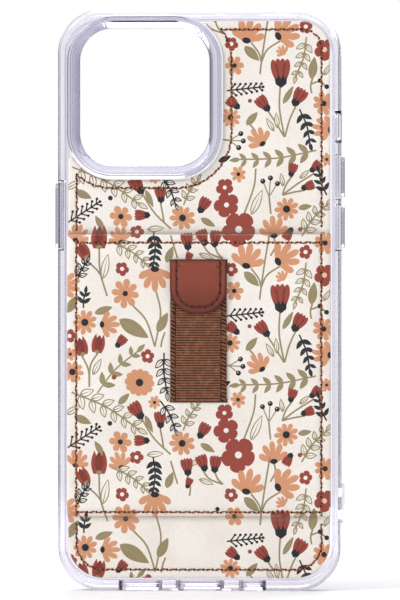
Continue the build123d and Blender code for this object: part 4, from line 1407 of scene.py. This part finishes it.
def webbing_finish():
    """Elastic webbing, from the weave attribute: across and along in mm, and which side is up.
    Ribs have a painted highlight on their crowns and painted shade between, crossed by slanted
    twill; the bands are plaited, a little redder, with painted shade between the plaits and a
    painted highlight on them, and a line of painted shadow runs beside each."""
    material, tree, shader = finish(
        "elastic_webbing", Roughness=0.88, Specular_IOR_Level=0.12, Sheen_Weight=0.08
    )
    weave = read(tree, "weave", "Vector")
    spot = axes(tree, weave)
    across, along = spot["X"], spot["Y"]
    turn = times(tree, along, np.pi / RIB_PITCH)
    crown = ramp(tree, sums(tree, "ABSOLUTE", sums(tree, "SINE", turn)), 0.15, 0.95)
    slant = sums(tree, "ADD", times(tree, across, 11.0), times(tree, along, 8.7))
    twill = ramp(tree, sums(tree, "SINE", slant), -0.8, 0.8)
    hair = noise(tree, weave, 9.0, 3.0, 0.6)
    slow = noise(tree, weave, 0.7, 3.0)
    # Painted highlight on the rib crowns and painted shade between the ribs.
    light = times(tree, crown, ramp(tree, twill, 0.0, 1.0, 0.3, 0.8))
    ribbed = mix(tree, crown, tone(*WEB_GROOVE_SHADE), tone(*WEB_BROWN))
    hairy = times(tree, light, ramp(tree, hair, 0.35, 0.7))
    ribbed = mix(tree, hairy, ribbed, tone(*WEB_PALE_AND_HIGHLIGHT))
    left = sums(tree, "ADD", across, STRAP_HALF)
    right = sums(tree, "SUBTRACT", STRAP_HALF, across)
    in_left = ramp(tree, left, LEFT_BAND + 0.05, LEFT_BAND - 0.05)
    in_right = ramp(tree, right, RIGHT_BAND + 0.05, RIGHT_BAND - 0.05)
    lean = sums(tree, "SUBTRACT", times(tree, along, 5.7), times(tree, across, 2.4))
    # Painted shade between the plait's lumps and a painted highlight on them.
    plait = ramp(tree, sums(tree, "SINE", lean), -0.9, 0.6)
    band = mix(tree, plait, tone(*WEB_GROOVE_SHADE), tone(*WEB_BAND))
    hairy = times(tree, plait, ramp(tree, hair, 0.4, 0.75, 0.0, 0.55))
    band = mix(tree, hairy, band, tone(*WEB_PALE_AND_HIGHLIGHT))
    cloth = mix(tree, sums(tree, "MAXIMUM", in_left, in_right), ribbed, band)
    # Painted shadow: a dark line beside each band.
    off_left = sums(tree, "ABSOLUTE", sums(tree, "SUBTRACT", left, LEFT_BAND))
    off_right = sums(tree, "ABSOLUTE", sums(tree, "SUBTRACT", right, RIGHT_BAND))
    line = ramp(tree, sums(tree, "MINIMUM", off_left, off_right), 0.22, 0.08, 0.0, 0.85)
    lined = mix(tree, line, cloth, tone(*WEB_GROOVE_SHADE))
    faded = mix(tree, ramp(tree, slow, 0.45, 0.8, 0.0, 0.2), lined, tone(*WEB_PALE_AND_HIGHLIGHT))
    high = sums(tree, "ADD", times(tree, twill, 0.6), times(tree, hair, 0.6))
    feed(tree, shader, {"Base Color": faded, "Normal": bump(tree, high, 0.7, 0.00012)})
    return material


elastic = webbing_finish()
wear(["strap_upper_anchor", "strap_lower_anchor"], elastic)

strap_crown = webbing_piece("strap_webbing_crown_woven", CROWN_TOP, CROWN_FOOT)
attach(strap_crown, "strap")
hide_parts("strap_webbing_crown")
strap_upper = webbing_piece("strap_webbing_upper_woven", STRAP_TOP, CROWN_TOP, 1)
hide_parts("strap_webbing_upper")
strap_lower = webbing_piece("strap_webbing_lower_woven", CROWN_FOOT, STRAP_FOOT, -1)
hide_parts("strap_webbing_lower")
for length_of_strap in (strap_crown, strap_upper, strap_lower):
    length_of_strap.data.materials.append(elastic)
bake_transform(strap_upper)
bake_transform(strap_lower)


# ------------------------------------------------------------------ strap tab
# A tab of reddish brown leather covers the strap's upper end, square at the slot and round at
# the other end. Its edge is painted dark, and a U of fine dark stitches lies in a groove.
TAB_FACE = 6.45
TAB_UNDER = 5.68
TAB_RED = (142, 68, 50)
TAB_DEEP = (112, 48, 35)
# The tab's dark edge paint; the same colour is also painted shade in the grain's creases and in the
# stitching groove.
TAB_EDGE_PAINT_AND_SHADE = (58, 24, 19)
TAB_PITCH = 1.9
TAB_SEAM_INSET = 1.9
# The painted shade in the seam's groove starts this far out from the middle, or this far
# down, in metres of X and Z.
TAB_SEAM_SHADE_SIDES = (0.0049, 0.0054)
TAB_SEAM_SHADE_FOOT = (0.0078, 0.0072)
# The same for the tab's thread: pale fibres and painted highlight, deep thread and painted shade.
TAB_THREAD_PALE_AND_HIGHLIGHT = (92, 44, 24)
TAB_THREAD_DEEP_AND_SHADE = (14, 6, 5)


def tab_face(places):
    """The tab's height: slightly crowned, rolled at its rim, and sunk along its stitching."""
    inset = distance(places, tab_marks)
    swell = 0.1 * np.clip(inset / 6, 0, 1)
    sunk = 0.12 * np.exp(-((distance(places, tab_holes) / 0.22) ** 2))
    seam = pressed(distance(places, tab_seam), 0.16, 0.42)
    return TAB_FACE - 0.1 + swell - rolled(inset, 0.7, 0.34) - seam - sunk


def tab_leather():
    """Brown leather: a slow change from red to deep brown down the tab, fine pebbles, painted
    shade in the creases and along the stitching groove, and a dark painted rim that is rubbed
    through in places."""
    material, tree, shader = finish("tab_leather", Specular_IOR_Level=0.25, Coat_Roughness=0.4)
    hide = placed(tree, coated_leather, Pebbles=2400.0, Pores=12000.0, Swell=260.0, Rim=0.9)
    spot = axes(tree, object_place(tree))
    tall, side = spot["Z"], sums(tree, "ABSOLUTE", spot["X"])
    blotch = sums(tree, "ADD", ramp(tree, tall, -0.004, 0.0115), times(tree, hide["Mottle"], 0.6))
    hue = mix(tree, ramp(tree, blotch, 0.2, 1.1), tone(*TAB_DEEP), tone(*TAB_RED))
    # Painted shade: the creases of the grain are darkened towards the edge paint's colour.
    creased = mix(tree, times(tree, hide["Crease"], 0.3), hue, tone(*TAB_EDGE_PAINT_AND_SHADE))
    ink = read(tree, "print_colour", "Color")
    pale = add(tree, "RGBToBW", {"Color": ink}).outputs["Val"]
    face = ramp(tree, pale, 0.55, 0.75)
    sides = mix(tree, face, tone(*TAB_EDGE_PAINT_AND_SHADE), creased)
    rim = read(tree, "from_rim")
    groove = sums(tree, "ABSOLUTE", sums(tree, "SUBTRACT", rim, TAB_SEAM_INSET))
    beside, below = ramp(tree, side, *TAB_SEAM_SHADE_SIDES), ramp(tree, tall, *TAB_SEAM_SHADE_FOOT)
    ends = sums(tree, "MAXIMUM", beside, below)
    # Painted shade along the stitching groove, where it runs down the sides and across the foot.
    seam_groove_shade = times(tree, ends, ramp(tree, groove, 0.42, 0.12, 0.0, 0.6))
    near = sums(tree, "MAXIMUM", ramp(tree, rim, 0.95, 0.1, 0.0, 0.85), seam_groove_shade)
    rubbed = times(tree, near, ramp(tree, hide["Mottle"], 0.25, 0.6, 0.6, 1.0))
    # The edge paint and the painted shade of the groove are laid on together here.
    painted = mix(tree, rubbed, sides, tone(*TAB_EDGE_PAINT_AND_SHADE))
    rough = ramp(tree, hide["Height"], 0.2, 0.9, 0.46, 0.62)
    gloss = ramp(tree, hide["Mottle"], 0.2, 0.8, 0.02, 0.1)
    feed(tree, shader, {"Base Color": painted, "Roughness": rough, "Coat Weight": gloss})
    feed(tree, shader, {"Normal": bump(tree, hide["Height"], 0.7, 0.0001)})
    return material


stitches["strap_tab_stitching"] = stitch_places("strap_tab_stitching")
tab_loops = face_loops("strap_tab_leather", TAB_FACE)[:1]
tab_marks = divided(tab_loops[0], 0.2)
tab_seam = seam_line(stitches["strap_tab_stitching"], TAB_PITCH)
tab_holes = needle_holes(stitches["strap_tab_stitching"], TAB_PITCH)
tab = leather_piece(
    "strap_tab_cut",
    tab_loops,
    tab_face,
    lambda places: np.full(len(places), TAB_UNDER),
    painted_hole_shade(tab_holes, 0.26),
    grid=0.4,
)
tab.data.materials.append(tab_leather())
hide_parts("strap_tab_leather")
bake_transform(tab)

tab_sewing = thread_stitches(
    "strap_tab_thread", stitches["strap_tab_stitching"], tab_face, 1.55, 0.29
)
tab_sewing.data.materials.append(thread_finish("tab_thread", TAB_THREAD_PALE_AND_HIGHLIGHT, TAB_THREAD_DEEP_AND_SHADE))
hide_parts("strap_tab_stitching")
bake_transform(tab_sewing)


# ------------------------------------------------------------------ studio
# A pale table, white surroundings with softly greyer sides for the clear plastic to bend, three
# soft lights, and a long lens square on to the back of the case.
LENS = 418.7
AWAY = 2.0
TURN = 3.0
AIM = Vector((0.00017, 0.0, -0.0001))


def table():
    """A round table top under the case: a disc of rings, flat but for a soft fall at its edge."""
    ring, spoke = np.meshgrid(np.linspace(0, 1, 24)[1:], np.arange(96), indexing="ij")
    reach = 900 * ring
    angle = spoke * 2 * np.pi / 96
    low = cad_box[0].z / MM - 0.02 - 6 * np.clip(ring - 0.9, 0, 1) ** 2 * 100
    points = np.stack([reach * np.cos(angle), reach * np.sin(angle), low], axis=-1).reshape(-1, 3)
    points = np.concatenate([[[0, 0, cad_box[0].z / MM - 0.02]], points])
    points = np.stack([points[:, 0], points[:, 2], -points[:, 1]], axis=1)
    fan = np.stack([np.zeros(96, int), 1 + np.arange(96), 1 + (np.arange(96) + 1) % 96], axis=1)
    return mesh_of("table_top", points, np.concatenate([fan, grid_faces(23, 96, first=1)]))


def table_finish():
    """Pale laminate with a faint cloudiness."""
    material, tree, shader = finish("table_white", Roughness=0.75, Specular_IOR_Level=0.1)
    cloud = noise(tree, object_place(tree), 14.0, 3.0)
    feed(tree, shader, {"Base Color": mix(tree, cloud, tone(250, 250, 250), tone(254, 254, 254))})
    return material


table_top = table()
table_top.data.materials.append(table_finish())


def surroundings():
    """White as the camera sees it. For light and reflections it is white behind the case, soft
    white in front of it, and round the sides a lavender grey that is paler towards the top and
    the left than towards the right, as in a room with one big window."""
    world = bpy.data.worlds.new("studio")
    world.use_nodes = True
    tree = world.node_tree
    tree.nodes.clear()
    way = axes(tree, add(tree, "TexCoord", {}).outputs["Generated"])
    window = sums(tree, "SUBTRACT", times(tree, way["Z"], 0.7), way["X"])
    sides = mix(tree, ramp(tree, window, -1.0, 0.8), tone(66, 62, 82), tone(244, 243, 248))
    front = mix(tree, ramp(tree, way["Y"], -0.35, -0.95), sides, tone(219, 219, 221))
    colour = mix(tree, ramp(tree, way["Y"], 0.86, 0.995), front, (1.04, 1.04, 1.05, 1.0))
    around = add(tree, "Background", {"Color": colour, "Strength": 1.0}).outputs[0]
    seen = add(tree, "Background", {"Color": (1, 1, 1, 1), "Strength": 1.0}).outputs[0]
    straight = add(tree, "LightPath", {}).outputs["Is Camera Ray"]
    both = add(tree, "MixShader", {0: straight, 1: around, 2: seen})
    add(tree, "OutputWorld", {"Surface": both.outputs[0]})
    bpy.context.scene.world = world


surroundings()


def soft_light(name, place, size, power):
    """A square soft light that faces the case."""
    lamp = bpy.data.lights.new(name, "AREA")
    lamp.shape, lamp.size, lamp.energy = "SQUARE", size, power
    light = bpy.data.objects.new(name, lamp)
    light.location = place
    light.rotation_euler = (-Vector(place)).to_track_quat("-Z", "Y").to_euler()
    bpy.context.scene.collection.objects.link(light)


soft_light("key_light", (-0.8, -0.8, 0.9), 0.4, 9.0)
soft_light("fill_light", (0.9, -0.9, 0.3), 0.8, 1.5)
soft_light("back_light", (0.2, 1.0, 0.7), 0.8, 7.0)

lens = bpy.data.cameras.new("product_lens")
lens.lens, lens.sensor_width, lens.sensor_fit = LENS, 36.0, "AUTO"
lens.clip_start, lens.clip_end = 0.05, 20.0
camera = bpy.data.objects.new("product_camera", lens)
away = Vector((np.sin(np.radians(TURN)), -np.cos(np.radians(TURN)), 0.0))
camera.location = AIM + away * AWAY
camera.rotation_euler = (-away).to_track_quat("-Z", "Y").to_euler()
bpy.context.scene.collection.objects.link(camera)
bpy.context.scene.camera = camera
bpy.context.scene.view_settings.view_transform = "Standard"
